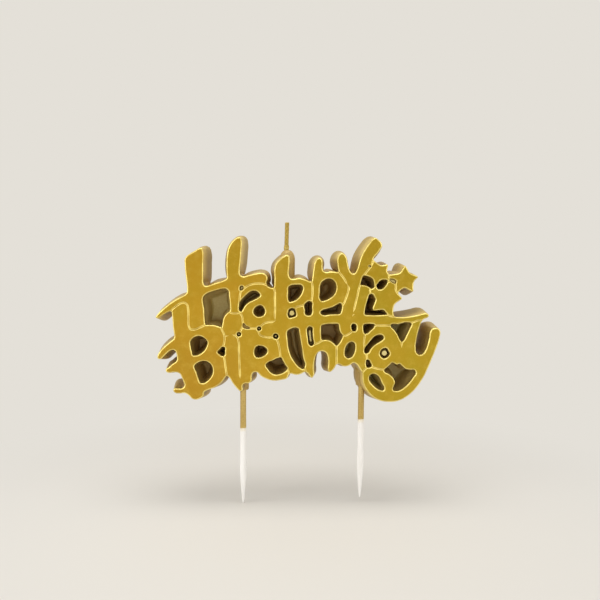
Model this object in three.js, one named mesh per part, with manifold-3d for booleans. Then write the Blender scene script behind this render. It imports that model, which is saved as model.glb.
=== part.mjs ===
import * as THREE from 'three';
import Module from 'manifold-3d';

// Frame: x to the right seen from the front, y from front to back, z up.
// The origin lies midway between the two picks, level with the top of the cake.

// Wax lettering
const FRONT_Y = -6.5;
const BACK_Y = 6.5;
const DEPTH = BACK_Y - FRONT_Y;
const WALL_SPREAD = 1.6;
const EDGE = 0.45;
const EDGE_FIRST_SHARE = 0.29;
const BACK_EDGE = 0.25;
const WEB = 1.2;
const GROOVE_HALF = 0.45;
const GROOVE_DEPTH = 0.48;
const GROOVE_FADE = 1.6;
const GROOVE_END_SHARE = 0.2;

// Picks: one moulding used twice
const PICK_R = 1.1;
const PICK_TIP_R = 0.14;
const PICK_POINT_R = 0.28;
const PICK_POINT_LENGTH = 9.8;
const PICK_SHOULDER_CUT = 0.06;
const PICK_SHOULDER_LENGTH = 0.9;
const PICK_LENGTH = 52.5;
const PICK_ROUND = 0.2;
const LEFT_PICK_X = -21.4;
const LEFT_TIP_Z = -29.1;
const RIGHT_PICK_X = 21.4;
const RIGHT_TIP_Z = -26.9;
const RIGHT_PICK_LEAN_ANGLE = 0.9;

// Wax drawn down round the picks: the wall over the pick's own radius, and the heights above
// each collar's lower end at which the wall reaches full thickness, leaves it and ends
const COLLAR_LIP = 0.75;
const LEFT_COLLAR_Z = 12.3;
const LEFT_COLLAR_WALL = 1.0;
const LEFT_COLLAR_FULL = 0.6;
const LEFT_COLLAR_TURN = 2.3;
const LEFT_COLLAR_HEIGHT = 5.7;
const RIGHT_COLLAR_Z = 13.9;
const RIGHT_COLLAR_LOW_WALL = 0.95;
const RIGHT_COLLAR_LOW = 1.3;
const RIGHT_COLLAR_WALL = 1.45;
const RIGHT_COLLAR_FULL = 5.0;
const RIGHT_COLLAR_HEIGHT = 7.6;

// Wick, with the bead and the mound of wax at the place where it comes out
const WICK_R = 0.75;
const WICK_BOTTOM_Z = 27;
const WICK_TOP_Z = 73.1;
const WICK_BASE_Z = 63.4;
const WICK_BASE_X = -5.67;
const WICK_LEAN_ANGLE = 1.6;
const WICK_ROUND = 0.2;
const WICK_BEAD_R = 0.95;
const WICK_BEAD_DROP = 0.5;
const WICK_BEAD_LOW = 0.2;
const WICK_BEAD_HIGH = 0.3;
const WICK_BEAD_RISE = 0.9;
const MOUND_X = -5.35;
const MOUND_BOTTOM_Z = 53;
const MOUND_R = 2.75;
const MOUND_SHOULDER_R = 2.45;
const MOUND_SHOULDER_DROP = 2.6;
const MOUND_CROWN_R = 1.95;
const MOUND_CROWN_DROP = 0.7;
const MOUND_TOP_DROP = 0.4;
const MOUND_LIP = 0.35;

// Clearance between pieces that touch
const GAP = 0.3;
const FACETS = 28;

// Outer edge of the front face, [x, z] in millimetres, anticlockwise from the flag of the H.
// A third value of 1 marks a sharp corner, the other knots lie on smooth curves.
const SILHOUETTE = [
  [-52.0, 38.7], [-51.4, 38.5], [-49.6, 39.5], [-48.0, 40.5], [-46.4, 41.2, 1],
  [-46.1, 38.0], [-45.9, 35.5], [-45.3, 31.6, 1],
  [-46.5, 30.6], [-48.0, 29.4], [-49.5, 28.0], [-50.7, 26.6], [-51.4, 25.2], [-51.3, 24.3],
  [-50.1, 24.1], [-49.2, 24.9], [-48.0, 26.1], [-46.9, 27.0], [-45.9, 27.3], [-45.1, 27.0],
  [-44.7, 26.0], [-44.4, 23.5, 1],
  [-45.3, 22.9], [-46.3, 22.2], [-47.3, 21.3], [-48.4, 20.4], [-48.3, 19.6], [-47.4, 19.2],
  [-45.7, 19.4], [-44.3, 19.3], [-43.4, 18.8], [-42.8, 17.6], [-42.1, 15.9], [-41.8, 14.9],
  [-42.5, 13.9], [-44.3, 13.7], [-45.4, 13.7], [-45.8, 13.0], [-45.1, 12.1],
  [-43.5, 11.9], [-41.6, 12.0], [-40.3, 11.2], [-39.2, 10.1], [-37.8, 9.7], [-36.2, 10.2],
  [-35.0, 11.2], [-34.8, 12.4], [-33.6, 13.1], [-31.7, 13.8], [-30.2, 14.6], [-28.6, 15.9],
  [-27.4, 17.5], [-26.7, 18.4, 1],
  [-25.6, 17.0], [-24.9, 15.8], [-23.9, 14.4], [-22.9, 13.3], [-22.0, 12.7], [-21.3, 13.1],
  [-21.2, 14.7], [-20.6, 15.4], [-18.9, 15.6], [-18.1, 16.4], [-17.9, 18.4], [-17.4, 19.3],
  [-16.6, 19.5], [-15.7, 19.1], [-14.8, 18.1], [-13.4, 17.3], [-11.4, 16.6], [-9.5, 16.4],
  [-7.5, 16.7], [-5.5, 17.3], [-4.8, 18.9, 1],
  [-4.0, 18.9], [-3.0, 18.6], [-1.8, 18.5], [-0.6, 18.8], [0.9, 19.7, 1],
  [1.8, 19.0], [2.7, 17.9], [3.3, 17.4], [3.8, 17.9], [4.0, 21.0], [4.2, 23.2], [4.7, 25.2],
  [5.5, 26.4], [6.8, 26.9], [8.2, 26.3], [8.8, 25.0], [9.0, 22.5], [9.0, 20.2], [9.5, 19.5],
  [10.4, 19.9], [11.4, 21.1], [12.0, 22.5, 1],
  [13.1, 22.2], [14.2, 21.6], [15.4, 21.5], [16.7, 21.9], [18.1, 22.7], [19.1, 22.2],
  [20.2, 20.6], [21.1, 19.2, 1],
  [21.1, 17.5], [21.3, 15.8], [22.1, 13.8], [23.4, 12.0], [25.2, 10.4], [27.6, 9.3],
  [30.5, 8.9], [33.2, 9.1], [35.6, 10.0], [38.2, 11.8], [40.6, 14.3], [42.6, 17.3],
  [44.4, 20.9], [46.2, 25.2], [47.6, 28.8], [48.5, 31.8], [48.8, 33.6], [48.3, 34.8],
  [46.9, 35.1], [45.7, 34.8], [45.1, 33.8], [44.7, 31.4], [44.1, 29.0], [43.4, 27.2],
  [42.5, 26.0], [41.3, 25.6], [40.4, 26.2], [40.0, 28.2], [40.3, 31.0], [41.0, 34.2],
  [42.0, 37.3, 1],
  [42.9, 38.2], [44.1, 38.7], [44.7, 39.3], [44.4, 40.1], [43.5, 40.3], [41.0, 39.8],
  [38.5, 39.3], [36.0, 39.0], [33.8, 39.0], [32.3, 39.1, 1],
  [32.1, 40.8], [32.2, 42.2], [32.6, 43.6, 1], [35.5, 45.5, 1], [33.6, 47.4, 1],
  [35.3, 48.9], [36.1, 49.2], [37.0, 48.8], [39.3, 47.7, 1], [39.2, 49.7], [39.4, 51.6, 1],
  [41.2, 53.2, 1], [37.9, 54.5, 1], [36.3, 57.4, 1], [34.4, 54.5, 1],
  [30.8, 53.9, 1],
  [29.8, 55.0, 1], [30.4, 57.7, 1], [27.7, 57.2, 1], [24.9, 59.2, 1],
  [25.3, 60.0], [26.5, 61.4], [27.4, 62.7], [28.2, 64.1], [27.9, 65.2], [26.8, 66.4],
  [25.8, 67.0], [24.8, 66.5], [23.3, 64.8], [21.8, 62.6], [20.8, 60.7], [20.0, 58.4],
  [19.2, 55.8], [18.6, 54.7], [17.9, 54.3], [17.2, 54.7], [16.6, 55.8], [16.0, 58.0],
  [15.5, 60.2], [14.8, 61.2], [13.9, 61.6], [13.0, 61.1], [12.3, 59.8], [12.3, 57.4],
  [12.8, 54.7, 1],
  [11.5, 55.0], [9.8, 55.1], [8.3, 54.9], [7.4, 55.3], [7.1, 56.6], [7.1, 58.3],
  [6.8, 59.4], [6.0, 59.9], [5.0, 59.5], [4.3, 58.4], [3.8, 56.0], [3.2, 51.3, 1],
  [2.2, 51.7], [0.6, 52.4], [-1.4, 52.8], [-3.2, 52.5], [-4.3, 52.7], [-4.8, 53.8],
  [-4.8, 56.0], [-4.6, 59.4], [-4.8, 60.6], [-5.6, 60.9], [-6.8, 60.4], [-8.2, 59.3],
  [-9.5, 57.8], [-10.0, 56.2], [-10.0, 52.5], [-10.1, 49.2, 1],
  [-11.3, 49.4], [-12.6, 50.3], [-12.8, 51.2], [-12.4, 52.3], [-12.6, 53.5], [-13.4, 54.3],
  [-14.8, 54.6], [-17.0, 54.3], [-19.2, 53.8], [-21.2, 53.4], [-22.0, 53.9], [-22.2, 55.4],
  [-21.9, 58.5], [-21.6, 62.5], [-21.5, 65.8], [-21.9, 67.1], [-22.8, 67.2], [-24.1, 66.5],
  [-25.4, 65.1], [-26.3, 63.3], [-26.8, 60.8], [-27.0, 57.0], [-26.9, 54.2], [-26.7, 52.6, 1],
  [-28.4, 51.8], [-30.9, 51.0], [-33.2, 50.2], [-34.4, 50.0], [-35.0, 50.8], [-35.1, 53.0],
  [-35.1, 58.2], [-35.2, 62.3], [-35.6, 63.4], [-36.5, 63.3], [-38.8, 62.0], [-40.9, 60.7],
  [-41.6, 59.8], [-41.7, 57.0], [-41.5, 54.5], [-41.2, 52.0], [-40.9, 49.6], [-41.0, 47.3, 1],
  [-42.8, 46.3], [-44.7, 45.3], [-46.6, 44.1], [-48.5, 42.6], [-50.2, 41.2], [-51.5, 39.8],
];

// Counters and enclosed gaps: name, depth below the face, outline just under the edge.
const OPENINGS = [
  ['counter_h', DEPTH - WEB, [
    [-34.8, 46.5], [-33.8, 47.3], [-32.0, 48.0], [-30.0, 48.6], [-28.3, 49.0], [-27.0, 48.9],
    [-26.3, 48.2], [-26.1, 46.6], [-25.8, 44.0], [-25.6, 41.2, 1], [-26.8, 40.3],
    [-27.8, 39.0], [-28.3, 37.2], [-28.6, 35.2, 1], [-29.8, 35.7], [-31.2, 36.1],
    [-33.0, 36.2], [-34.4, 36.1, 1], [-34.6, 38.0], [-34.8, 41.5]]],
  ['upper_counter_b', DEPTH - WEB, [
    [-39.7, 30.2], [-39.0, 31.3], [-38.0, 32.0], [-36.8, 32.3], [-35.6, 32.0],
    [-34.6, 31.3], [-33.7, 30.2], [-34.0, 28.5], [-35.1, 26.8], [-36.3, 25.9],
    [-37.6, 25.4], [-38.7, 25.4], [-39.2, 26.8], [-39.6, 28.8]]],
  ['lower_counter_b', DEPTH - WEB, [
    [-38.2, 21.8], [-37.4, 22.6], [-36.2, 23.2], [-34.8, 23.4], [-33.4, 23.0],
    [-32.3, 22.0], [-31.8, 20.6], [-31.9, 18.9], [-32.7, 17.4], [-33.8, 16.3],
    [-35.1, 15.6], [-36.1, 15.7], [-36.8, 17.1], [-37.5, 19.3]]],
  ['gap_b_i', 9.5, [
    [-30.1, 26.5], [-29.3, 27.5], [-28.4, 28.4], [-27.6, 28.2], [-27.5, 26.8],
    [-27.6, 25.5], [-28.3, 25.1], [-29.3, 25.7]]],
  ['slot_a', 10.5, [
    [-22.5, 42.6], [-22.3, 44.0], [-21.6, 45.1], [-20.6, 46.2], [-19.3, 47.4],
    [-17.9, 48.2], [-16.6, 48.2], [-15.5, 47.5], [-15.0, 46.7], [-15.9, 45.8],
    [-17.6, 44.9], [-19.2, 44.1], [-20.3, 43.1], [-21.1, 41.8], [-21.8, 40.9],
    [-22.4, 41.3]]],
  ['counter_a', 9.5, [
    [-17.4, 40.8], [-16.9, 42.1], [-15.9, 42.9], [-14.8, 43.1], [-13.8, 42.3],
    [-13.3, 41.0], [-13.6, 39.9], [-14.6, 39.2], [-15.8, 39.1], [-16.9, 39.7]]],
  ['counter_p', DEPTH - WEB, [
    [-4.9, 49.6], [-4.3, 50.1], [-2.2, 50.4], [-0.4, 50.2], [0.1, 49.5], [-0.1, 48.1],
    [-0.8, 46.6], [-2.0, 45.3], [-3.5, 44.5], [-4.7, 44.4], [-5.1, 45.4], [-5.1, 47.8]]],
  ['second_counter_p', DEPTH - WEB, [
    [6.2, 50.0], [6.7, 51.2], [7.8, 52.1], [9.2, 52.5], [10.5, 52.2], [11.5, 51.2],
    [11.9, 49.8], [11.7, 48.0], [10.9, 46.6], [9.6, 45.6], [8.1, 44.9], [6.7, 44.7],
    [6.1, 45.4], [6.1, 47.8]]],
  ['gap_p_p', 9.5, [
    [0.6, 43.2], [1.3, 44.1], [2.3, 44.6], [3.2, 44.2], [3.3, 42.4], [3.3, 40.5],
    [2.9, 39.7], [1.8, 39.5], [1.0, 39.9], [0.8, 41.5]]],
  ['pit_p', 3.4, [
    [-5.1, 40.8], [-4.7, 41.7], [-3.8, 42.1], [-2.9, 41.8], [-2.4, 40.6], [-2.4, 39.4],
    [-3.4, 38.9], [-4.8, 38.8], [-5.2, 39.5]]],
  ['gap_p_bowl', 10.0, [
    [6.3, 40.5], [7.0, 41.4], [8.6, 41.9], [10.6, 42.5], [12.3, 43.4], [13.4, 43.8],
    [13.9, 42.9], [13.7, 41.3], [13.3, 40.0, 1], [10.0, 39.9], [6.8, 39.9]]],
  ['gap_h', DEPTH - WEB, [
    [6.6, 36.1, 1], [9.0, 36.5], [12.7, 36.6, 1], [12.9, 35.2], [13.2, 33.8],
    [14.3, 32.4, 1], [13.7, 31.0], [12.9, 29.7], [12.0, 28.9], [11.0, 29.7],
    [9.7, 30.6], [8.2, 30.9], [6.7, 30.7, 1], [6.5, 33.4]]],
  ['slot_h', 4.5, [
    [1.6, 34.8], [2.4, 35.6], [3.3, 35.3], [3.5, 33.6], [3.7, 31.2], [3.9, 29.3],
    [3.1, 28.7], [2.3, 29.3], [1.9, 31.4], [1.6, 33.4]]],
  ['slot_t', DEPTH - WEB, [
    [-5.2, 34.1], [-3.9, 34.9], [-2.5, 35.2], [-1.6, 34.9], [-1.2, 33.2], [-0.7, 30.4],
    [-0.2, 27.4], [0.2, 24.6], [0.8, 21.6], [0.3, 20.6], [-1.0, 21.1], [-2.6, 22.8],
    [-4.0, 25.0], [-4.9, 27.7], [-5.3, 31.0]]],
  ['counter_r', DEPTH - WEB, [
    [-16.9, 27.6], [-16.3, 28.6], [-15.0, 28.8], [-13.6, 28.4], [-12.6, 27.5],
    [-12.7, 26.2], [-13.7, 25.3], [-15.1, 24.7], [-16.4, 24.8], [-17.0, 25.8]]],
  ['gap_r_t', DEPTH - WEB, [
    [-13.0, 22.0], [-12.3, 22.9], [-10.6, 23.6], [-8.9, 24.4], [-7.7, 24.6],
    [-6.9, 23.4], [-6.2, 22.1], [-5.4, 20.8], [-6.4, 19.6], [-8.1, 18.8], [-9.6, 18.6],
    [-11.0, 19.2], [-12.2, 20.5]]],
  ['counter_d', 10.0, [
    [14.9, 26.6], [15.3, 28.4], [16.2, 29.7], [17.3, 30.2], [18.3, 29.7], [18.6, 28.2],
    [18.2, 26.2], [17.3, 24.8], [16.1, 24.4], [15.1, 25.1]]],
  ['gap_y_d', 6.0, [
    [17.3, 36.0], [17.9, 36.6], [18.8, 36.3], [19.1, 35.1], [18.7, 34.0], [17.9, 33.9],
    [17.4, 34.7]]],
  ['gap_star_y', 10.0, [
    [20.4, 50.3, 1], [20.9, 52.2], [21.4, 53.7, 1], [22.7, 53.5], [24.8, 52.6, 1],
    [25.2, 51.2], [25.5, 49.5, 1], [24.4, 49.0], [23.7, 49.4], [22.9, 49.9], [21.8, 50.2]]],
  ['gap_star_star', 9.0, [
    [26.2, 50.2], [26.8, 51.1], [27.7, 52.0], [28.9, 52.2], [30.2, 52.0, 1], [30.0, 51.2],
    [28.3, 48.8, 1], [27.4, 48.7], [26.5, 48.8, 1]]],
  ['gap_star_stem', DEPTH - WEB, [
    [23.6, 47.1, 1], [24.8, 47.2, 1], [25.9, 45.1, 1], [25.3, 43.6], [24.8, 42.2],
    [24.9, 41.2, 1], [26.8, 41.4], [28.6, 41.6, 1], [30.1, 39.8, 1],
    [25.6, 39.6], [21.9, 39.7, 1], [22.2, 42.2], [22.9, 44.8]]],
  ['gap_stem_a', 9.0, [
    [21.5, 36.4, 1], [23.6, 36.6], [25.6, 36.4, 1], [25.1, 35.2], [24.0, 34.2],
    [22.9, 33.2], [22.0, 33.1], [21.5, 34.4]]],
  ['gap_a_y', DEPTH - WEB, [
    [31.2, 36.0], [34.0, 36.5], [37.0, 37.1], [38.4, 36.7], [37.8, 34.8], [36.8, 32.7],
    [35.9, 30.9], [35.1, 30.2], [34.4, 31.0], [33.6, 32.7], [32.4, 34.4]]],
  ['slot_second_a', 10.0, [
    [21.8, 26.9], [22.1, 28.1], [23.1, 29.4], [24.3, 30.9], [25.5, 32.1], [26.9, 32.7],
    [28.2, 32.5], [28.7, 31.5], [27.9, 30.6], [26.4, 29.7], [25.0, 28.7], [24.0, 27.5],
    [23.2, 26.3], [22.2, 26.1]]],
  ['counter_second_a', 4.0, [
    [27.3, 26.0], [27.7, 27.1], [28.6, 27.9], [29.6, 28.0], [30.3, 27.1], [30.8, 25.9],
    [30.1, 24.9], [28.9, 24.3], [27.8, 24.9]]],
  ['gap_d_a', 4.2, [
    [22.5, 23.9, 1], [23.5, 23.7], [24.0, 22.8], [24.4, 21.6], [23.6, 21.1],
    [22.6, 21.1, 1], [22.4, 22.5]]],
  ['lower_gap_y', DEPTH - WEB, [
    [28.9, 20.2], [29.8, 21.1], [30.8, 22.0], [31.7, 22.8], [32.6, 22.5], [33.4, 22.1],
    [34.2, 22.4], [35.1, 21.7], [36.3, 20.7], [37.9, 20.3], [39.5, 20.2], [40.0, 19.3],
    [39.1, 17.7], [37.9, 16.0], [36.4, 14.5], [34.8, 13.3], [33.2, 12.8], [32.0, 13.2],
    [32.2, 14.4], [32.7, 15.7], [32.3, 17.1], [31.0, 18.5]]],
  ['loop_y', DEPTH - WEB, [
    [23.5, 17.1], [24.0, 18.5], [25.2, 18.9], [26.5, 18.3], [27.4, 17.1], [28.0, 15.6],
    [28.8, 14.1], [28.7, 13.1], [27.5, 13.1], [26.0, 13.9], [24.7, 15.1], [23.8, 16.2]]],
  ['pit_h_a', 1.6, [[-21.9, 48.3], [-21.9, 50.0], [-21.1, 49.9], [-20.9, 49.2], [-21.4, 48.5]]],
  ['pit_dot_i', 4.5, [
    [-23.3, 32.9], [-22.9, 33.5], [-22.1, 33.5], [-21.8, 32.8], [-22.2, 32.2], [-23.0, 32.2]]],
  ['pit_a_bar', 4.5, [
    [-16.1, 34.9], [-15.7, 35.5], [-14.9, 35.4], [-14.7, 34.7], [-15.2, 34.2], [-15.9, 34.3]]],
  ['pit_dot_a', 1.0, [[-20.9, 36.8], [-21.0, 35.2], [-18.6, 35.2], [-20.0, 36.0]]],
  ['pit_bar_t', 5.0, [
    [-10.5, 32.2], [-10.1, 32.9], [-9.2, 33.0], [-8.6, 32.3], [-8.9, 31.4], [-9.8, 31.3]]],
  ['pit_star_y', 0.9, [[23.2, 57.0], [23.6, 57.4], [24.2, 57.1], [24.3, 56.6], [23.7, 56.6]]],
  ['pit_stars', 1.3, [[30.8, 52.4], [31.9, 52.5], [33.2, 51.6], [33.0, 50.9], [31.6, 51.2]]],
];

// Grooves where two letters meet: centre line, then whether each end fades out on the face.
const GROOVES = [
  [[[-46.9, 40.8], [-45.6, 42.1], [-44.3, 43.1], [-42.9, 43.9], [-41.7, 44.0], [-40.8, 43.3],
    [-40.5, 41.8], [-40.4, 38.6], [-40.2, 35.8], [-39.6, 34.7], [-38.5, 34.5],
    [-36.5, 35.2], [-34.0, 36.4]], 0, 0],
  [[[-29.0, 35.8], [-28.4, 34.2], [-27.8, 32.9], [-27.6, 31.6], [-27.7, 30.2],
    [-28.1, 28.3]], 0, 0],
  [[[-28.0, 25.7], [-27.6, 24.0], [-27.3, 21.6], [-27.0, 19.6], [-26.7, 17.9]], 0, 0],
  [[[-26.3, 41.1], [-25.2, 40.4], [-23.6, 40.3], [-22.1, 40.3], [-21.5, 39.4], [-21.2, 37.9],
    [-21.1, 36.2], [-21.6, 34.8], [-22.4, 33.3]], 0, 0],
  [[[-21.8, 48.6], [-22.1, 47.0], [-22.3, 45.4], [-22.4, 43.6]], 0, 0],
  [[[-21.9, 47.4], [-21.2, 48.5], [-19.9, 49.7], [-18.1, 50.5], [-16.1, 50.8], [-14.1, 50.7],
    [-12.2, 50.0]], 1, 0],
  [[[-10.4, 49.9], [-9.9, 48.4], [-9.8, 45.5], [-9.75, 42.0], [-9.8, 39.0], [-9.7, 37.7]], 0, 1],
  [[[-21.3, 35.3], [-19.8, 34.95], [-17.8, 34.95], [-15.6, 35.0]], 0, 0],
  [[[-15.5, 34.9], [-14.6, 35.9], [-13.4, 36.8], [-12.0, 37.15], [-10.6, 37.3],
    [-9.3, 37.8]], 0, 1],
  [[[-15.5, 34.6], [-15.5, 33.5], [-14.9, 32.5], [-13.6, 32.0], [-11.6, 31.8],
    [-9.9, 32.0]], 0, 0],
  [[[-9.4, 31.7], [-8.8, 30.2], [-8.3, 28.4], [-8.0, 26.4], [-7.8, 24.2]], 0, 0],
  [[[-5.6, 20.9], [-5.0, 19.8], [-4.7, 18.4]], 0, 0],
  [[[0.6, 21.1], [0.95, 20.2], [0.9, 19.2]], 0, 0],
  [[[-27.7, 32.3], [-27.0, 32.3], [-26.1, 32.45]], 0, 1],
  [[[-25.0, 32.75], [-24.0, 32.5], [-23.1, 31.7], [-22.6, 30.2], [-22.5, 27.0],
    [-22.35, 23.0], [-22.2, 19.5], [-22.1, 17.2]], 1, 1],
  [[[3.1, 52.0], [3.45, 50.0], [3.5, 47.5], [3.1, 43.9]], 0, 0],
  [[[-3.0, 41.6], [-2.0, 42.55], [-0.8, 42.8], [0.2, 43.1], [1.2, 43.4]], 0, 0],
  [[[3.6, 29.2], [4.6, 29.5], [5.6, 29.9], [7.2, 30.9]], 0, 0],
  [[[12.0, 29.3], [12.0, 27.2], [12.0, 24.8], [12.0, 22.0]], 0, 0],
  [[[13.9, 32.4], [14.9, 32.35], [16.2, 32.9], [17.7, 34.2]], 0, 0],
  [[[12.4, 55.4], [13.4, 54.1], [14.5, 52.8], [15.3, 51.4], [15.9, 50.2]], 0, 1],
  [[[15.7, 50.6], [16.3, 49.4], [16.0, 47.6], [15.3, 45.6], [14.6, 43.9], [13.6, 42.6]], 1, 0],
  [[[20.5, 50.8], [19.9, 49.0], [19.5, 47.2], [18.9, 44.6], [18.3, 42.2], [17.9, 40.6]], 0, 1],
  [[[18.6, 39.9], [18.0, 39.9], [17.6, 39.1]], 1, 1],
  [[[21.4, 53.4], [22.5, 54.8], [23.6, 56.2], [24.4, 57.4], [25.0, 59.6]], 0, 0],
  [[[30.8, 54.5], [30.45, 53.5], [30.9, 52.3]], 0, 0],
  [[[29.8, 51.3], [30.6, 51.5], [31.4, 51.8]], 0, 0],
  [[[25.4, 49.8], [25.9, 49.9], [26.5, 50.1]], 0, 0],
  [[[32.7, 51.3], [32.95, 49.9], [32.95, 48.5], [33.8, 47.0]], 0, 0],
  [[[24.1, 49.5], [23.8, 48.2], [24.0, 46.8]], 0, 0],
  [[[29.6, 40.2], [30.8, 39.4], [32.0, 39.2], [32.9, 39.2]], 0, 0],
  [[[25.2, 36.0], [27.0, 36.0], [29.2, 36.0], [31.6, 35.9]], 0, 0],
  [[[35.1, 30.6], [35.0, 29.4], [34.95, 28.0]], 0, 1],
  [[[22.2, 33.6], [21.95, 32.2], [21.7, 30.2], [21.9, 27.9]], 0, 0],
  [[[22.5, 26.6], [22.65, 25.2], [22.9, 23.4]], 0, 0],
  [[[24.0, 21.5], [25.4, 21.0], [27.2, 20.6], [29.3, 20.3]], 0, 0],
  [[[23.0, 21.4], [22.0, 20.4], [20.8, 18.9]], 0, 0],
  [[[38.1, 36.8], [39.6, 37.35], [41.0, 37.85], [42.6, 37.8]], 0, 0],
];

// How the outlines are drawn and offset: the turn of one step in radians, the rise of a groove
// cutter's mouth over the face, the flare of an opening's mouth over it, as a share of its edge,
// the most of an opening's depth that its edge takes, the longest mitre of a corner, the
// distance between probes, and the shares of the free room that an offset may take
const KNOT_TURN = 0.44;
const MOUTH_RISE = 0.5;
const MOUTH_FLARE_SHARE = 0.9;
const MOUTH_DEPTH_SHARE = 0.3;
const MITRE_RATIO = 1.5;
const PROBE_STEP = 0.4;
const ROOM_SHARE = 0.88;
const ROOM_SHARE_STEP = 0.08;
const ROOM_SHARE_LEAST = 0.2;
const ROOM_SLOPE = 0.55;

function unit(ax, az, bx, bz) {
  const length = Math.hypot(bx - ax, bz - az);
  return [(bx - ax) / length, (bz - az) / length, length];
}

// Tangent at knot i, following the circle through the knot and its two neighbours.
function tangent(knots, i, closed) {
  const n = knots.length;
  const here = knots[i];
  const before = closed || i > 0 ? knots[(i + n - 1) % n] : null;
  const after = closed || i < n - 1 ? knots[(i + 1) % n] : null;
  const back = before ? unit(before[0], before[1], here[0], here[1]) : null;
  const next = after ? unit(here[0], here[1], after[0], after[1]) : null;
  if (!back || !next || here[2]) {
    return [back ?? next, next ?? back];
  }
  const x = back[0] * next[2] + next[0] * back[2];
  const z = back[1] * next[2] + next[1] * back[2];
  const length = Math.hypot(x, z);
  const both = [x / length, z / length];
  return [both, both];
}

// Points along the smooth curve through the knots, closer together where it turns.
function curve(knots, closed) {
  const n = knots.length;
  const points = [];
  const spans = closed ? n : n - 1;
  for (let i = 0; i < spans; i += 1) {
    const a = knots[i];
    const b = knots[(i + 1) % n];
    const from = tangent(knots, i, closed)[1];
    const to = tangent(knots, (i + 1) % n, closed)[0];
    const length = Math.hypot(b[0] - a[0], b[1] - a[1]);
    const turn = Math.acos(Math.min(1, Math.max(-1, from[0] * to[0] + from[1] * to[1])));
    const steps = Math.max(1, Math.round(turn / KNOT_TURN));
    for (let k = 0; k < steps; k += 1) {
      const t = k / steps;
      const h0 = 2 * t ** 3 - 3 * t ** 2 + 1;
      const h1 = (t ** 3 - 2 * t ** 2 + t) * length;
      const h2 = 3 * t ** 2 - 2 * t ** 3;
      const h3 = (t ** 3 - t ** 2) * length;
      points.push([
        h0 * a[0] + h1 * from[0] + h2 * b[0] + h3 * to[0],
        h0 * a[1] + h1 * from[1] + h2 * b[1] + h3 * to[1],
      ]);
    }
  }
  if (!closed) {
    points.push([knots[n - 1][0], knots[n - 1][1]]);
  }
  return points;
}

function area(points) {
  let sum = 0;
  points.forEach((p, i) => {
    const q = points[(i + 1) % points.length];
    sum += p[0] * q[1] - q[0] * p[1];
  });
  return sum / 2;
}

function anticlockwise(points) {
  return area(points) < 0 ? points.slice().reverse() : points;
}

// Outward normals of a closed anticlockwise outline, lengthened at corners.
function normals(points) {
  const n = points.length;
  return points.map((p, i) => {
    const a = points[(i + n - 1) % n];
    const b = points[(i + 1) % n];
    const back = unit(a[0], a[1], p[0], p[1]);
    const next = unit(p[0], p[1], b[0], b[1]);
    const x = back[1] + next[1];
    const z = -back[0] - next[0];
    const length = Math.hypot(x, z);
    const cosine = length / 2;
    const stretch = 1 / Math.max(cosine, 1 / MITRE_RATIO);
    return [(x / length) * stretch, (z / length) * stretch];
  });
}

// Points along edge i of a closed outline, its start included, PROBE_STEP or less apart.
function probes(points, i) {
  const a = points[i];
  const b = points[(i + 1) % points.length];
  const steps = Math.ceil(Math.hypot(b[0] - a[0], b[1] - a[1]) / PROBE_STEP);
  return Array.from({ length: steps }, (_, k) => [
    a[0] + ((b[0] - a[0]) * k) / steps,
    a[1] + ((b[1] - a[1]) * k) / steps,
  ]);
}

// How far each point may move along its normal before it meets the outline coming the other
// way: the radius of the circle that touches the outline there and just reaches another place.
function room(points, ways, sign) {
  const n = points.length;
  const edges = points.map((p, i) => probes(points, i));
  const limits = points.map((p, i) => {
    const length = Math.hypot(ways[i][0], ways[i][1]);
    const x = (sign * ways[i][0]) / length;
    const z = (sign * ways[i][1]) / length;
    let best = 1e6;
    const reach = (q) => {
      const dx = q[0] - p[0];
      const dz = q[1] - p[1];
      const along = dx * x + dz * z;
      if (along > 1e-9) {
        best = Math.min(best, (dx * dx + dz * dz) / (2 * along));
      }
    };
    edges.forEach((edge, j) => {
      if (j === i || j === (i + n - 1) % n) {
        reach(points[j === i ? (i + 1) % n : j]);
      } else {
        edge.forEach(reach);
      }
    });
    return best;
  });
  return evened(points, limits);
}

// The limits with no jump: along the outline they grow by ROOM_SLOPE a millimetre at most.
function evened(points, limits) {
  const n = points.length;
  const even = limits.slice();
  for (let turn = 0; turn < 2 * n; turn += 1) {
    const i = turn % n;
    const j = (i + 1) % n;
    const apart = Math.hypot(points[j][0] - points[i][0], points[j][1] - points[i][1]);
    even[j] = Math.min(even[j], even[i] + ROOM_SLOPE * apart);
    const a = n - 1 - i;
    const b = (a + n - 1) % n;
    const back = Math.hypot(points[b][0] - points[a][0], points[b][1] - points[a][1]);
    even[b] = Math.min(even[b], even[a] + ROOM_SLOPE * back);
  }
  return even;
}

function facesOf(points) {
  const flat = points.map((p) => new THREE.Vector2(p[0], p[1]));
  return THREE.ShapeUtils.triangulateShape(flat, []);
}

// Whether the outline crosses itself: its triangles then don't add up to its own area.
function crosses(points) {
  const faces = facesOf(points);
  const covered = faces.reduce((sum, face) => {
    const corners = face.map((k) => points[k]);
    return sum + Math.abs(area(corners));
  }, 0);
  const own = Math.abs(area(points));
  return faces.length !== points.length - 2 || Math.abs(covered - own) > 1e-6 * own;
}

// The outline moved out (positive) or in (negative), never past the middle of a narrow place.
function offset(points, distance) {
  const ways = normals(points);
  const sign = Math.sign(distance) || 1;
  const limits = room(points, ways, sign);
  for (let share = ROOM_SHARE; share > ROOM_SHARE_LEAST; share -= ROOM_SHARE_STEP) {
    const moved = points.map((p, i) => {
      const step = sign * Math.min(Math.abs(distance), share * limits[i]);
      return [p[0] + ways[i][0] * step, p[1] + ways[i][1] * step];
    });
    if (!crosses(moved)) {
      return moved;
    }
  }
  throw new Error('no room for the offset');
}

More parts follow.
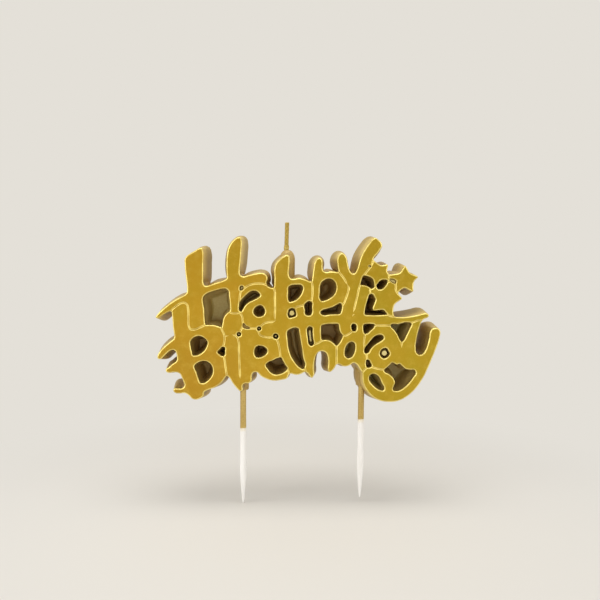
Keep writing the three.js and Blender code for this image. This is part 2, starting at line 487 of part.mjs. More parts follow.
function manifold(wasm, vertices, triangles) {
  let volume = 0;
  for (let t = 0; t < triangles.length; t += 3) {
    const a = new THREE.Vector3().fromArray(vertices, triangles[t] * 3);
    const b = new THREE.Vector3().fromArray(vertices, triangles[t + 1] * 3);
    const c = new THREE.Vector3().fromArray(vertices, triangles[t + 2] * 3);
    volume += a.dot(b.cross(c));
  }
  if (volume < 0) {
    for (let t = 0; t < triangles.length; t += 3) {
      const swap = triangles[t + 1];
      triangles[t + 1] = triangles[t + 2];
      triangles[t + 2] = swap;
    }
  }
  return new wasm.Manifold(new wasm.Mesh({
    numProp: 3,
    vertProperties: new Float32Array(vertices),
    triVerts: new Uint32Array(triangles),
  }));
}

// Solid through a stack of outlines with the same number of points, each at its own depth.
function loft(wasm, outlines, depths) {
  const n = outlines[0].length;
  const vertices = [];
  const triangles = [];
  outlines.forEach((outline, level) => {
    outline.forEach((p) => vertices.push(p[0], depths[level], p[1]));
  });
  for (let level = 0; level < outlines.length - 1; level += 1) {
    for (let i = 0; i < n; i += 1) {
      const a = level * n + i;
      const b = level * n + ((i + 1) % n);
      triangles.push(a, b, b + n, a, b + n, a + n);
    }
  }
  const cap = (level, flip) => {
    facesOf(outlines[level]).forEach(([a, b, c]) => {
      const base = level * n;
      triangles.push(base + a, base + (flip ? b : c), base + (flip ? c : b));
    });
  };
  cap(0, false);
  cap(outlines.length - 1, true);
  return manifold(wasm, vertices, triangles);
}

// Solid turned about an upright axis through (x, 0), leaning by some degrees about z = pivot.
function turned(wasm, x, pivot, lean, profile) {
  const vertices = [];
  const triangles = [];
  const slope = Math.tan(THREE.MathUtils.degToRad(lean));
  const place = (radius, angle, z) => vertices.push(
    x + (z - pivot) * slope + radius * Math.cos(angle),
    radius * Math.sin(angle),
    z,
  );
  profile.forEach(([radius, z]) => {
    for (let i = 0; i < FACETS; i += 1) {
      place(radius, (2 * Math.PI * i) / FACETS, z);
    }
  });
  const last = (profile.length - 1) * FACETS;
  for (let level = 0; level < profile.length - 1; level += 1) {
    for (let i = 0; i < FACETS; i += 1) {
      const a = level * FACETS + i;
      const b = level * FACETS + ((i + 1) % FACETS);
      triangles.push(a, b, b + FACETS, a, b + FACETS, a + FACETS);
    }
  }
  for (let i = 1; i < FACETS - 1; i += 1) {
    triangles.push(0, i + 1, i, last, last + i, last + i + 1);
  }
  return manifold(wasm, vertices, triangles);
}

// Boat-shaped cutter with a V section along an open path on the front face.
function furrow(wasm, path, fadeStart, fadeEnd) {
  const points = curve(path, false);
  const n = points.length;
  const reach = [0];
  for (let i = 1; i < n; i += 1) {
    const [ax, az] = points[i - 1];
    reach.push(reach[i - 1] + Math.hypot(points[i][0] - ax, points[i][1] - az));
  }
  const vertices = [];
  const triangles = [];
  points.forEach((p, i) => {
    const a = points[Math.max(0, i - 1)];
    const b = points[Math.min(n - 1, i + 1)];
    const along = unit(a[0], a[1], b[0], b[1]);
    const side = [along[1], -along[0]];
    const grown = (distance) => Math.min(1, GROOVE_END_SHARE + distance / GROOVE_FADE);
    const start = fadeStart ? grown(reach[i]) : 1;
    const end = fadeEnd ? grown(reach[n - 1] - reach[i]) : 1;
    const size = Math.min(start, end);
    const half = GROOVE_HALF * size * (1 + MOUTH_RISE / (GROOVE_DEPTH * size));
    vertices.push(p[0] - side[0] * half, FRONT_Y - MOUTH_RISE, p[1] - side[1] * half);
    vertices.push(p[0] + side[0] * half, FRONT_Y - MOUTH_RISE, p[1] + side[1] * half);
    vertices.push(p[0], FRONT_Y + GROOVE_DEPTH * size, p[1]);
  });
  for (let i = 0; i < n - 1; i += 1) {
    for (let k = 0; k < 3; k += 1) {
      const a = i * 3 + k;
      const b = i * 3 + ((k + 1) % 3);
      triangles.push(a, b, b + 3, a, b + 3, a + 3);
    }
  }
  const last = (n - 1) * 3;
  triangles.push(0, 2, 1, last, last + 1, last + 2);
  return manifold(wasm, vertices, triangles);
}

// The lettering without its holes: flat face, rounded front edge, wall drafted out to the back.
function blank(wasm) {
  const outline = anticlockwise(curve(SILHOUETTE, true));
  return loft(
    wasm,
    [
      offset(outline, -EDGE),
      offset(outline, -EDGE * EDGE_FIRST_SHARE),
      outline,
      offset(outline, WALL_SPREAD),
      offset(outline, WALL_SPREAD - BACK_EDGE),
    ],
    [FRONT_Y, FRONT_Y + EDGE * EDGE_FIRST_SHARE, FRONT_Y + EDGE, BACK_Y - BACK_EDGE, BACK_Y],
  );
}

// Cutter for one opening: rounded mouth, then walls that come in towards a flat floor.
function opening(wasm, depth, knots) {
  const outline = anticlockwise(curve(knots, true));
  const edge = Math.min(EDGE, depth * MOUTH_DEPTH_SHARE);
  const inset = (WALL_SPREAD * (depth - edge)) / DEPTH;
  return loft(
    wasm,
    [
      offset(outline, edge + edge * MOUTH_FLARE_SHARE),
      offset(outline, edge),
      offset(outline, edge * EDGE_FIRST_SHARE),
      outline,
      offset(outline, -inset),
    ],
    [
      FRONT_Y - edge * MOUTH_FLARE_SHARE,
      FRONT_Y,
      FRONT_Y + edge * EDGE_FIRST_SHARE,
      FRONT_Y + edge,
      FRONT_Y + depth,
    ],
  );
}

function pickProfile(tip) {
  const top = tip + PICK_LENGTH;
  const shoulder = tip + PICK_POINT_LENGTH;
  return [
    [PICK_TIP_R, tip],
    [PICK_POINT_R, tip + PICK_ROUND],
    [PICK_R - PICK_SHOULDER_CUT, shoulder - PICK_SHOULDER_LENGTH],
    [PICK_R, shoulder],
    [PICK_R, top - PICK_ROUND],
    [PICK_R - PICK_ROUND, top],
  ];
}

// Blind hole for a pick, from the level of the cake up past the pick's blunt end.
function socketProfile(tip) {
  return [[PICK_R + GAP, 0], [PICK_R + GAP, tip + PICK_LENGTH + GAP]];
}

function lettering(wasm) {
  const moundTop = WICK_BASE_Z - MOUND_TOP_DROP;
  const solids = [
    blank(wasm),
    turned(wasm, LEFT_PICK_X, 0, 0, [
      [PICK_R + COLLAR_LIP, LEFT_COLLAR_Z],
      [PICK_R + LEFT_COLLAR_WALL, LEFT_COLLAR_Z + LEFT_COLLAR_FULL],
      [PICK_R + LEFT_COLLAR_WALL, LEFT_COLLAR_Z + LEFT_COLLAR_TURN],
      [PICK_R + COLLAR_LIP, LEFT_COLLAR_Z + LEFT_COLLAR_HEIGHT],
    ]),
    turned(wasm, RIGHT_PICK_X, 0, RIGHT_PICK_LEAN_ANGLE, [
      [PICK_R + COLLAR_LIP, RIGHT_COLLAR_Z],
      [PICK_R + RIGHT_COLLAR_LOW_WALL, RIGHT_COLLAR_Z + RIGHT_COLLAR_LOW],
      [PICK_R + RIGHT_COLLAR_WALL, RIGHT_COLLAR_Z + RIGHT_COLLAR_FULL],
      [PICK_R + RIGHT_COLLAR_WALL, RIGHT_COLLAR_Z + RIGHT_COLLAR_HEIGHT],
    ]),
    turned(wasm, MOUND_X, 0, 0, [
      [MOUND_R, MOUND_BOTTOM_Z],
      [MOUND_R, moundTop - MOUND_SHOULDER_DROP],
      [MOUND_SHOULDER_R, moundTop - (MOUND_SHOULDER_DROP + MOUND_CROWN_DROP) / 2],
      [MOUND_CROWN_R, moundTop - MOUND_CROWN_DROP],
      [WICK_R + GAP + MOUND_LIP, moundTop],
    ]),
  ];
  const body = wasm.Manifold.union(solids);
  const cutters = OPENINGS.map(([, depth, knots]) => opening(wasm, depth, knots));
  GROOVES.forEach(([path, start, end]) => cutters.push(furrow(wasm, path, start, end)));
  cutters.push(
    turned(wasm, LEFT_PICK_X, 0, 0, socketProfile(LEFT_TIP_Z)),
    turned(wasm, RIGHT_PICK_X, 0, RIGHT_PICK_LEAN_ANGLE, socketProfile(RIGHT_TIP_Z)),
    turned(wasm, WICK_BASE_X, WICK_BASE_Z, WICK_LEAN_ANGLE, [
      [WICK_R + GAP, WICK_BOTTOM_Z - GAP],
      [WICK_R + GAP, WICK_BASE_Z],
    ]),
  );
  return body.subtract(wasm.Manifold.union(cutters));
}

function mesh(name, solid, colour, roughness, metalness) {
  const data = solid.getMesh();
  const geometry = new THREE.BufferGeometry();
  const points = new Float32Array(data.numVert * 3);
  for (let i = 0; i < data.numVert; i += 1) {
    for (let k = 0; k < 3; k += 1) {
      points[i * 3 + k] = data.vertProperties[i * data.numProp + k];
    }
  }
  geometry.setAttribute('position', new THREE.BufferAttribute(points, 3));
  geometry.setIndex(new THREE.BufferAttribute(new Uint32Array(data.triVerts), 1));
  geometry.computeVertexNormals();
  const material = new THREE.MeshStandardMaterial({ color: colour, roughness, metalness });
  material.name = `${name}_material`;
  const node = new THREE.Mesh(geometry, material);
  node.name = name;
  return node;
}

const wasm = await Module();
wasm.setup();

const part = new THREE.Group();
part.name = 'happy_birthday_script_candle';
part.add(mesh('wax_lettering', lettering(wasm), 0xb88f39, 0.38, 0.85));
part.add(mesh('wick', turned(wasm, WICK_BASE_X, WICK_BASE_Z, WICK_LEAN_ANGLE, [
  [WICK_R, WICK_BOTTOM_Z],
  [WICK_R, WICK_BASE_Z - WICK_BEAD_DROP],
  [WICK_BEAD_R, WICK_BASE_Z - WICK_BEAD_LOW],
  [WICK_BEAD_R, WICK_BASE_Z + WICK_BEAD_HIGH],
  [WICK_R, WICK_BASE_Z + WICK_BEAD_RISE],
  [WICK_R, WICK_TOP_Z - WICK_ROUND],
  [WICK_R - WICK_ROUND, WICK_TOP_Z],
]), 0xa78f46, 0.6, 0.5));
part.add(mesh(
  'left_pick',
  turned(wasm, LEFT_PICK_X, 0, 0, pickProfile(LEFT_TIP_Z)),
  0xf2efec,
  0.4,
  0,
));
part.add(mesh(
  'right_pick',
  turned(wasm, RIGHT_PICK_X, 0, RIGHT_PICK_LEAN_ANGLE, pickProfile(RIGHT_TIP_Z)),
  0xf2efec,
  0.4,
  0,
));

export default part;
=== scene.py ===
import math

import bmesh
import bpy
import numpy as np
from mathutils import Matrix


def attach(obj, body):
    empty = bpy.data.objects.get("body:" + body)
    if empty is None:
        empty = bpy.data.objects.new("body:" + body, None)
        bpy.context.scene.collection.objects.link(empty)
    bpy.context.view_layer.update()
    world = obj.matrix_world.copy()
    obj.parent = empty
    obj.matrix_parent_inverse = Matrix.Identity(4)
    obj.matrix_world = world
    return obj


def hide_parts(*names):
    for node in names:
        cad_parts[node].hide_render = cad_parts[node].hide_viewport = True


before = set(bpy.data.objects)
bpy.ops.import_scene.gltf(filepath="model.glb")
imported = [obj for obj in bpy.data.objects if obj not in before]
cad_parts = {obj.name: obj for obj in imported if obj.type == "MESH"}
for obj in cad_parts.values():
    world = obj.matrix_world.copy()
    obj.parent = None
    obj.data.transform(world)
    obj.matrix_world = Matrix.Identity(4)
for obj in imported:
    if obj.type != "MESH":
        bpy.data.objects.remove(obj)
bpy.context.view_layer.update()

studio = bpy.context.scene

# Everything is worked out in millimetres, in the frame of the CAD model: x to the right seen
# from the front, y from front to back, z up, with the cake's top at z = 0. It becomes metres
# where it goes into a mesh.
MM = 0.001

# Cast lettering: front and back, the wax left behind the deepest openings, the rounds of its
# edges, and how far its outer wall spreads towards the back
FRONT_Y = -6.5
BACK_Y = 6.5
DEPTH = BACK_Y - FRONT_Y
WEB = 1.2
THROUGH = DEPTH - WEB
EDGE = 0.55
BACK_EDGE = 0.3
WALL_SPREAD = 1.6

# Openings: round where wall meets floor, the most of the depth that a round takes up, how far
# cutters stand over the face, and how far their rounds reach over it. Beside a swell: the
# round, the share of the draft, and the share of width that its top keeps.
FOOT = 1.6
SHALLOW_SHARE = 0.3
OVER_FACE = 1.0
LIFT = 0.004
SWELL_FOOT = 0.25
SWELL_CLOSING = 0.3
SWELL_TOP = 0.08

# Painted light in an opening: how far inside the walls its floor begins, and the share of
# # the walls, from which depth on and over how many millimetres
FLOOR_REACH = 0.1
PALE_WALL_SHARE = 0.55
PALE_FROM = 0.5
PALE_OVER = 5

# Steps of a span between two knots, then the distance between the points of a line: outline,
# opening, groove, outline that marks points
SPAN_STEPS = 24
OUTLINE_STEP = 0.32
OPENING_STEP = 0.24
GROOVE_STEP = 0.25
MARK_STEP = 0.5

# How far outside its outline, and behind the deepest floor, a point counts as an opening's
MARGIN = 0.02
FLOOR_MARGIN = 0.3

# Wear of corners: its reach, how often it is done. Free distance: its slope, the share used.
CORNER_REACH = 0.6
CORNER_TURNS = 4
ROOM_SLOPE = 0.6
ROOM_SHARE = 0.9
TINY = 1e-6

# Grooves where two letters meet
GROOVE_HALF = 0.5
GROOVE_DEPTH = 0.38
GROOVE_FADE = 1.6
FADED_SHARE = 0.1

# Free distance by an outer wall where its painted shade is full, and where there is none, and
# depth of its top
CLOSE_GAP = 1.4
WIDE_GAP = 3.4
WALL_FROM = 0.3

# Picks, the ridges where the halves of their mould met, and the room in their sockets
PICK_R = 1.1
PICK_LENGTH = 52.5
PICK_POINT_LENGTH = 9.8
PICK_SEAM = {"height": 0.03, "half_width": 0.07, "below_top": 21}
SOCKET_GAP = 0.06
SOCKET_END_GAP = 0.1
LEFT_PICK = {"x": -21.4, "tip": -29.1, "lean": 0.0, "gold_from": -1.6}
RIGHT_PICK = {"x": 21.4, "tip": -26.9, "lean": math.radians(0.9), "gold_from": 1.6}

# Wax drawn down round the picks and round the foot of the wick: [radius, z] up each side
LEFT_COLLAR = [[1.62, 12.3], [1.85, 12.32], [2.02, 12.6], [2.1, 13.1], [2.08, 14.4],
               [1.98, 16.2], [1.85, 18.2]]
RIGHT_COLLAR = [[1.6, 13.9], [1.85, 13.93], [1.97, 14.3], [2.06, 15.4], [2.3, 17.2],
                [2.52, 18.9], [2.55, 21.5]]
MOUND_X = -5.35
MOUND = [[2.72, 53.0], [2.75, 57.0], [2.76, 60.0], [2.62, 60.9], [2.3, 61.7], [1.85, 62.35],
         [1.4, 62.78], [1.1, 62.92], [0.98, 62.96]]

# Where the wax round a pick or round the foot of the wick gets painted shade, as inside the
# openings
SHADED_COLLAR = {"reach": 2.8, "below": 19.0, "painted_shade": 0.95}
SHADED_MOUND = {"reach": 2.9, "above": 50.0, "painted_shade": 0.85}

# Wick, the bead of wax at its foot, and how far its strands wind in a millimetre
WICK_R = 0.75
WICK_BOTTOM_Z = 27.0
WICK_TOP_Z = 73.1
WICK_BASE_Z = 63.4
WICK_BASE_X = -5.67
WICK_LEAN = math.radians(1.6)
BORE_GAP = 0.05
BEAD_R = 0.95
BRAID_BOTTOM_Z = 62.2
BRAID_WIND = 2.0
BRAID_DEPTH = 0.05
ROUND_POINTS = 72

# Cut end of the wick, from the last of its straight rings up: [rise, share of the radius]
CROWN_HEIGHT = 0.12
CROWN = np.array([[0.02, 0.985], [0.06, 0.94], [0.1, 0.84], [0.12, 0.6], [0.11, 0.3]])

# The knots in the next three tables are x and z in tenths of a millimetre. Those in round
# brackets are corners, the others lie on smooth curves.

# Outer edge of the front face, anticlockwise from the flag of the H
SILHOUETTE = [
  [-520, 387], [-514, 385], [-496, 395], [-480, 405], (-464, 412), [-461, 380], [-459, 355],
  (-453, 316), [-465, 306], [-480, 294], [-495, 280], [-507, 266], [-514, 252], [-513, 243],
  [-501, 241], [-492, 249], [-480, 261], [-469, 270], [-459, 273], [-451, 270], [-447, 260],
  (-444, 235), [-453, 229], [-463, 222], [-473, 213], [-484, 204], [-483, 196], [-474, 192],
  [-457, 194], [-443, 193], [-434, 188], [-428, 176], [-421, 159], [-418, 149], [-425, 139],
  [-443, 137], [-454, 137], [-458, 130], [-451, 121], [-435, 119], [-416, 120], [-403, 112],
  [-392, 101], [-378, 97], [-362, 102], [-350, 112], [-348, 124], [-336, 131], [-317, 138],
  [-302, 146], [-286, 159], [-274, 175], (-267, 184), [-256, 170], [-249, 158], [-239, 144],
  [-229, 133], [-220, 127], [-213, 131], [-212, 147], [-206, 154], [-189, 156], [-181, 164],
  [-179, 184], [-174, 193], [-166, 195], [-157, 191], [-148, 181], [-134, 173], [-114, 166],
  [-95, 164], [-75, 167], [-55, 173], (-48, 189), [-40, 189], [-30, 186], [-18, 185], [-6, 188],
  (9, 197), [18, 190], [27, 179], [33, 174], [38, 179], [40, 210], [42, 232], [47, 252], [55, 264],
  [68, 269], [82, 263], [88, 250], [90, 225], [90, 202], [95, 195], [104, 199], [114, 211],
  (120, 225), [131, 222], [142, 216], [154, 215], [167, 219], [181, 227], [191, 222], [202, 206],
  (211, 192), [211, 175], [213, 158], [221, 138], [234, 120], [252, 104], [276, 93], [305, 89],
  [332, 91], [356, 100], [382, 118], [406, 143], [426, 173], [444, 209], [462, 252], [476, 288],
  [485, 318], [488, 336], [483, 348], [469, 351], [457, 348], [451, 338], [447, 314], [441, 290],
  [434, 272], [425, 260], [413, 256], [404, 262], [400, 282], [403, 310], [410, 342], (420, 373),
  [429, 382], [441, 387], [447, 393], [444, 401], [435, 403], [410, 398], [385, 393], [360, 390],
  [338, 390], (323, 391), [321, 408], [322, 422], (326, 436), (355, 455), (336, 474), [353, 489],
  [361, 492], [370, 488], (393, 477), [392, 497], (394, 516), (412, 532), (379, 545), (363, 574),
  (344, 545), (308, 539), (298, 550), (304, 577), (277, 572), (249, 592), [253, 600], [265, 614],
  [274, 627], [282, 641], [279, 652], [268, 664], [258, 670], [248, 665], [233, 648], [218, 626],
  [208, 607], [200, 584], [192, 558], [186, 547], [179, 543], [172, 547], [166, 558], [160, 580],
  [155, 602], [148, 612], [139, 616], [130, 611], [123, 598], [123, 574], (128, 547), [115, 550],
  [98, 551], [83, 549], [74, 553], [71, 566], [71, 583], [68, 594], [60, 599], [50, 595],
  [43, 584], [38, 560], (32, 513), [22, 517], [6, 524], [-14, 528], [-32, 525], [-43, 527],
  [-48, 538], [-48, 560], [-46, 594], [-48, 606], [-56, 609], [-68, 604], [-82, 593], [-95, 578],
  [-100, 562], [-100, 525], (-101, 492), [-113, 494], [-126, 503], [-128, 512], [-124, 523],
  [-126, 535], [-134, 543], [-148, 546], [-170, 543], [-192, 538], [-212, 534], [-220, 539],
  [-222, 554], [-219, 585], [-216, 625], [-215, 658], [-219, 671], [-228, 672], [-241, 665],
  [-254, 651], [-263, 633], [-268, 608], [-270, 570], [-269, 542], (-267, 526), [-284, 518],
  [-309, 510], [-332, 502], [-344, 500], [-350, 508], [-351, 530], [-351, 582], [-352, 623],
  [-356, 634], [-365, 633], [-388, 620], [-409, 607], [-416, 598], [-417, 570], [-415, 545],
  [-412, 520], [-409, 496], (-410, 473), [-428, 463], [-447, 453], [-466, 441], [-485, 426],
  [-502, 412], [-515, 398],
]

# Counters and gaps: name, depth below the face and how far the floor rises again in the
# # middle, both in millimetres, how much painted light floor and walls get, and the outline
# # just under the rounded edge. The walls get a share of that painted light, and the floor
# # gets no more than 1.
OPENINGS = [
  ["counter_h", THROUGH, 0, 0.9, [[-348, 465], [-338, 473], [-320, 480], [-300, 486], [-283, 490],
   [-270, 489], [-263, 482], [-261, 466], [-258, 440], (-256, 412), [-268, 403], [-278, 390],
   [-283, 372], (-286, 352), [-298, 357], [-312, 361], [-330, 362], (-344, 361), [-346, 380],
   [-348, 415]]],
  ["upper_counter_b", THROUGH, 0, 0, [[-397, 302], [-390, 313], [-380, 320], [-368, 323],
   [-356, 320], [-346, 313], [-337, 302], [-340, 285], [-351, 268], [-363, 259], [-376, 254],
   [-387, 254], [-392, 268], [-396, 288]]],
  ["lower_counter_b", THROUGH, 0, 0.2, [[-382, 218], [-374, 226], [-362, 232], [-348, 234],
   [-334, 230], [-323, 220], [-318, 206], [-319, 189], [-327, 174], [-338, 163], [-351, 156],
   [-361, 157], [-368, 171], [-375, 193]]],
  ["gap_b_i", 9.5, 0, 0, [[-301, 265], [-293, 275], [-284, 284], [-276, 282], [-275, 268],
   [-276, 255], [-283, 251], [-293, 257]]],
  ["slot_a", 10.5, 0, 0.5, [[-225, 426], [-223, 440], [-216, 451], [-206, 462], [-193, 474],
   [-179, 482], [-166, 482], [-155, 475], [-150, 467], [-159, 458], [-176, 449], [-192, 441],
   [-203, 431], [-211, 418], [-218, 409], [-224, 413]]],
  ["counter_a", 9.5, 0, 0, [[-174, 408], [-169, 421], [-159, 429], [-148, 431], [-138, 423],
   [-133, 410], [-136, 399], [-146, 392], [-158, 391], [-169, 397]]],
  ["counter_p", THROUGH, 0, 0, [[-49, 496], [-43, 501], [-22, 504], [-4, 502], [1, 495], [-1, 481],
   [-8, 466], [-20, 453], [-35, 445], [-47, 444], [-51, 454], [-51, 478]]],
  ["second_counter_p", THROUGH, 0, 0, [[62, 500], [67, 512], [78, 521], [92, 525], [105, 522],
   [115, 512], [119, 498], [117, 480], [109, 466], [96, 456], [81, 449], [67, 447], [61, 454],
   [61, 478]]],
  ["gap_p_p", 9.5, 0, 0, [[6, 432], [13, 441], [23, 446], [32, 442], [33, 424], [33, 405],
   [29, 397], [18, 395], [10, 399], [8, 415]]],
  ["pit_p", 3.4, 2.9, 1.0, [[-51, 408], [-47, 417], [-38, 421], [-29, 418], [-24, 406], [-24, 394],
   [-34, 389], [-48, 388], [-52, 395]]],
  ["gap_p_bowl", 10, 0, 0.3, [[63, 405], [70, 414], [86, 419], [106, 425], [123, 434], [134, 438],
   [139, 429], [137, 413], (133, 400), [100, 399], [68, 399]]],
  ["gap_h", THROUGH, 0, 0, [(66, 361), [90, 365], (127, 366), [129, 352], [132, 338], (143, 324),
   [137, 310], [129, 297], [120, 289], [110, 297], [97, 306], [82, 309], (67, 307), [65, 334]]],
  ["slot_h", 4.5, 2.8, 1.0, [[16, 348], [24, 356], [33, 353], [35, 336], [37, 312], [39, 293],
   [31, 287], [23, 293], [19, 314], [16, 334]]],
  ["slot_t", THROUGH, 0, 0.3, [[-52, 341], [-39, 349], [-25, 352], [-16, 349], [-12, 332],
   [-7, 304], [-2, 274], [2, 246], [8, 216], [3, 206], [-10, 211], [-26, 228], [-40, 250],
   [-49, 277], [-53, 310]]],
  ["counter_r", THROUGH, 0, 0, [[-169, 276], [-163, 286], [-150, 288], [-136, 284], [-126, 275],
   [-127, 262], [-137, 253], [-151, 247], [-164, 248], [-170, 258]]],
  ["gap_r_t", THROUGH, 0, 0, [[-130, 220], [-123, 229], [-106, 236], [-89, 244], [-77, 246],
   [-69, 234], [-62, 221], [-54, 208], [-64, 196], [-81, 188], [-96, 186], [-110, 192],
   [-122, 205]]],
  ["counter_d", 10, 0, 1.6, [[149, 266], [153, 284], [162, 297], [173, 302], [183, 297],
   [186, 282], [182, 262], [173, 248], [161, 244], [151, 251]]],
  ["gap_y_d", 6, 0, 0, [[173, 360], [179, 366], [188, 363], [191, 351], [187, 340], [179, 339],
   [174, 347]]],
  ["gap_star_y", 10, 0, 0, [(204, 503), [209, 522], (214, 537), [227, 535], (248, 526), [252, 512],
   (255, 495), [244, 490], [237, 494], [229, 499], [218, 502]]],
  ["gap_star_star", 9, 0, 0, [[262, 502], [268, 511], [277, 520], [289, 522], (302, 520),
   [300, 512], (283, 488), [274, 487], (265, 488)]],
  ["gap_star_stem", THROUGH, 0, 0, [(236, 471), (248, 472), (259, 451), [253, 436], [248, 422],
   (249, 412), [268, 414], (286, 416), (301, 398), [256, 396], (219, 397), [222, 422],
   [229, 448]]],
  ["gap_stem_a", 9, 0, 0, [(215, 364), [236, 366], (256, 364), [251, 352], [240, 342], [229, 332],
   [220, 331], [215, 344]]],
  ["gap_a_y", THROUGH, 0, 1.5, [[312, 360], [340, 365], [370, 371], [384, 367], [378, 348],
   [368, 327], [359, 309], [351, 302], [344, 310], [336, 327], [324, 344]]],
  ["slot_second_a", 10, 0, 0, [[218, 269], [221, 281], [231, 294], [243, 309], [255, 321],
   [269, 327], [282, 325], [287, 315], [279, 306], [264, 297], [250, 287], [240, 275], [232, 263],
   [222, 261]]],
  ["counter_second_a", 4, 3.2, 1.0, [[273, 260], [277, 271], [286, 279], [296, 280], [303, 271],
   [308, 259], [301, 249], [289, 243], [278, 249]]],
  ["gap_d_a", 4.2, 1.0, 0, [(225, 239), [235, 237], [240, 228], [244, 216], [236, 211], (226, 211),
   [224, 225]]],
  ["lower_gap_y", THROUGH, 0, 0.7, [[289, 202], [298, 211], [308, 220], [317, 228], [326, 225],
   [334, 221], [342, 224], [351, 217], [363, 207], [379, 203], [395, 202], [400, 193], [391, 177],
   [379, 160], [364, 145], [348, 133], [332, 128], [320, 132], [322, 144], [327, 157], [323, 171],
   [310, 185]]],
  ["loop_y", THROUGH, 0, 1.8, [[235, 171], [240, 185], [252, 189], [265, 183], [274, 171],
   [280, 156], [288, 141], [287, 131], [275, 131], [260, 139], [247, 151], [238, 162]]],
  ["pit_h_a", 1.6, 0, 0.8, [[-219, 483], [-219, 500], [-211, 499], [-209, 492], [-214, 485]]],
  ["pit_dot_i", 4.5, 3.9, 0.7, [[-233, 329], [-229, 335], [-221, 335], [-218, 328], [-222, 322],
   [-230, 322]]],
  ["pit_a_bar", 4.5, 3.9, 0.6, [[-161, 349], [-157, 355], [-149, 354], [-147, 347], [-152, 342],
   [-159, 343]]],
  ["pit_dot_a", 1, 0, 0, [[-209, 368], [-210, 352], [-186, 352], [-200, 360]]],
  ["pit_bar_t", 5, 4.2, 0.4, [[-105, 322], [-101, 329], [-92, 330], [-86, 323], [-89, 314],
   [-98, 313]]],
  ["pit_star_y", 0.9, 0, 0.9, [[232, 570], [236, 574], [242, 571], [243, 566], [237, 566]]],
  ["pit_stars", 1.3, 0, 0.9, [[308, 524], [319, 525], [332, 516], [330, 509], [316, 512]]],
]

# Grooves where two letters meet: line and, where an end fades out on the face, which.
GROOVES = [
  [[[-469, 408], [-456, 421], [-443, 431], [-429, 439], [-417, 440], [-408, 433], [-405, 418],
    [-404, 386], [-402, 358], [-396, 347], [-385, 345], [-365, 352], [-340, 364]]],
  [[[-290, 358], [-284, 342], [-278, 329], [-276, 316], [-277, 302], [-281, 283]]],
  [[[-280, 257], [-276, 240], [-273, 216], [-270, 196], [-267, 179]]],
  [[[-263, 411], [-252, 404], [-236, 403], [-221, 403], [-215, 394], [-212, 379], [-211, 362],
    [-216, 348], [-224, 333]]],
  [[[-218, 486], [-221, 470], [-223, 454], [-224, 436]]],
  [[[-219, 474], [-212, 485], [-199, 497], [-181, 505], [-161, 508], [-141, 507],
    [-122, 500]], 1, 0],
  [[[-104, 499], [-99, 484], [-98, 455], [-97.5, 420], [-98, 390], [-97, 377]], 0, 1],
  [[[-213, 353], [-198, 349.5], [-178, 349.5], [-156, 350]]],
  [[[-155, 349], [-146, 359], [-134, 368], [-120, 371.5], [-106, 373], [-93, 378]], 0, 1],
  [[[-155, 346], [-155, 335], [-149, 325], [-136, 320], [-116, 318], [-99, 320]]],
  [[[-94, 317], [-88, 302], [-83, 284], [-80, 264], [-78, 242]]],
  [[[-56, 209], [-50, 198], [-47, 184]]],
  [[[6, 211], [9.5, 202], [9, 192]]],
  [[[-277, 323], [-270, 323], [-261, 324.5]], 0, 1],
  [[[-250, 327.5], [-240, 325], [-231, 317], [-226, 302], [-225, 270], [-223.5, 230], [-222, 195],
    [-221, 172]], 1, 1],
  [[[31, 520], [34.5, 500], [35, 475], [31, 439]]],
  [[[-30, 416], [-20, 425.5], [-8, 428], [2, 431], [12, 434]]],
  [[[36, 292], [46, 295], [56, 299], [72, 309]]],
  [[[120, 293], [120, 272], [120, 248], [120, 220]]],
  [[[139, 324], [149, 323.5], [162, 329], [177, 342]]],
  [[[124, 554], [134, 541], [145, 528], [153, 514], [159, 502]], 0, 1],
  [[[157, 506], [163, 494], [160, 476], [153, 456], [146, 439], [136, 426]], 1, 0],
  [[[205, 508], [199, 490], [195, 472], [189, 446], [183, 422], [179, 406]], 0, 1],
  [[[186, 399], [180, 399], [176, 391]], 1, 1],
  [[[214, 534], [225, 548], [236, 562], [244, 574], [250, 596]]],
  [[[308, 545], [304.5, 535], [309, 523]]],
  [[[298, 513], [306, 515], [314, 518]]],
  [[[254, 498], [259, 499], [265, 501]]],
  [[[327, 513], [329.5, 499], [329.5, 485], [338, 470]]],
  [[[241, 495], [238, 482], [240, 468]]],
  [[[296, 402], [308, 394], [320, 392], [329, 392]]],
  [[[252, 360], [270, 360], [292, 360], [316, 359]]],
  [[[351, 306], [350, 294], [349.5, 280]], 0, 1],
  [[[222, 336], [219.5, 322], [217, 302], [219, 279]]],
  [[[225, 266], [226.5, 252], [229, 234]]],
  [[[240, 215], [254, 210], [272, 206], [293, 203]]],
  [[[230, 214], [220, 204], [208, 189]]],
  [[[381, 368], [396, 373.5], [410, 378.5], [426, 378]]],
]


# ---- Lines and outlines


def circle(count):
    """Angles spread evenly over a full turn."""
    return np.linspace(0, 2 * math.pi, count, endpoint=False)


def lengths(points):
    """Distance along a line of points, from its first point to each of them."""
    return np.r_[0.0, np.cumsum(np.linalg.norm(np.diff(points, axis=0), axis=1))]


def in_mm(knots):
    """Knots in millimetres, from knots in tenths of a millimetre."""
    return [type(knot)(value / 10 for value in knot) for knot in knots]


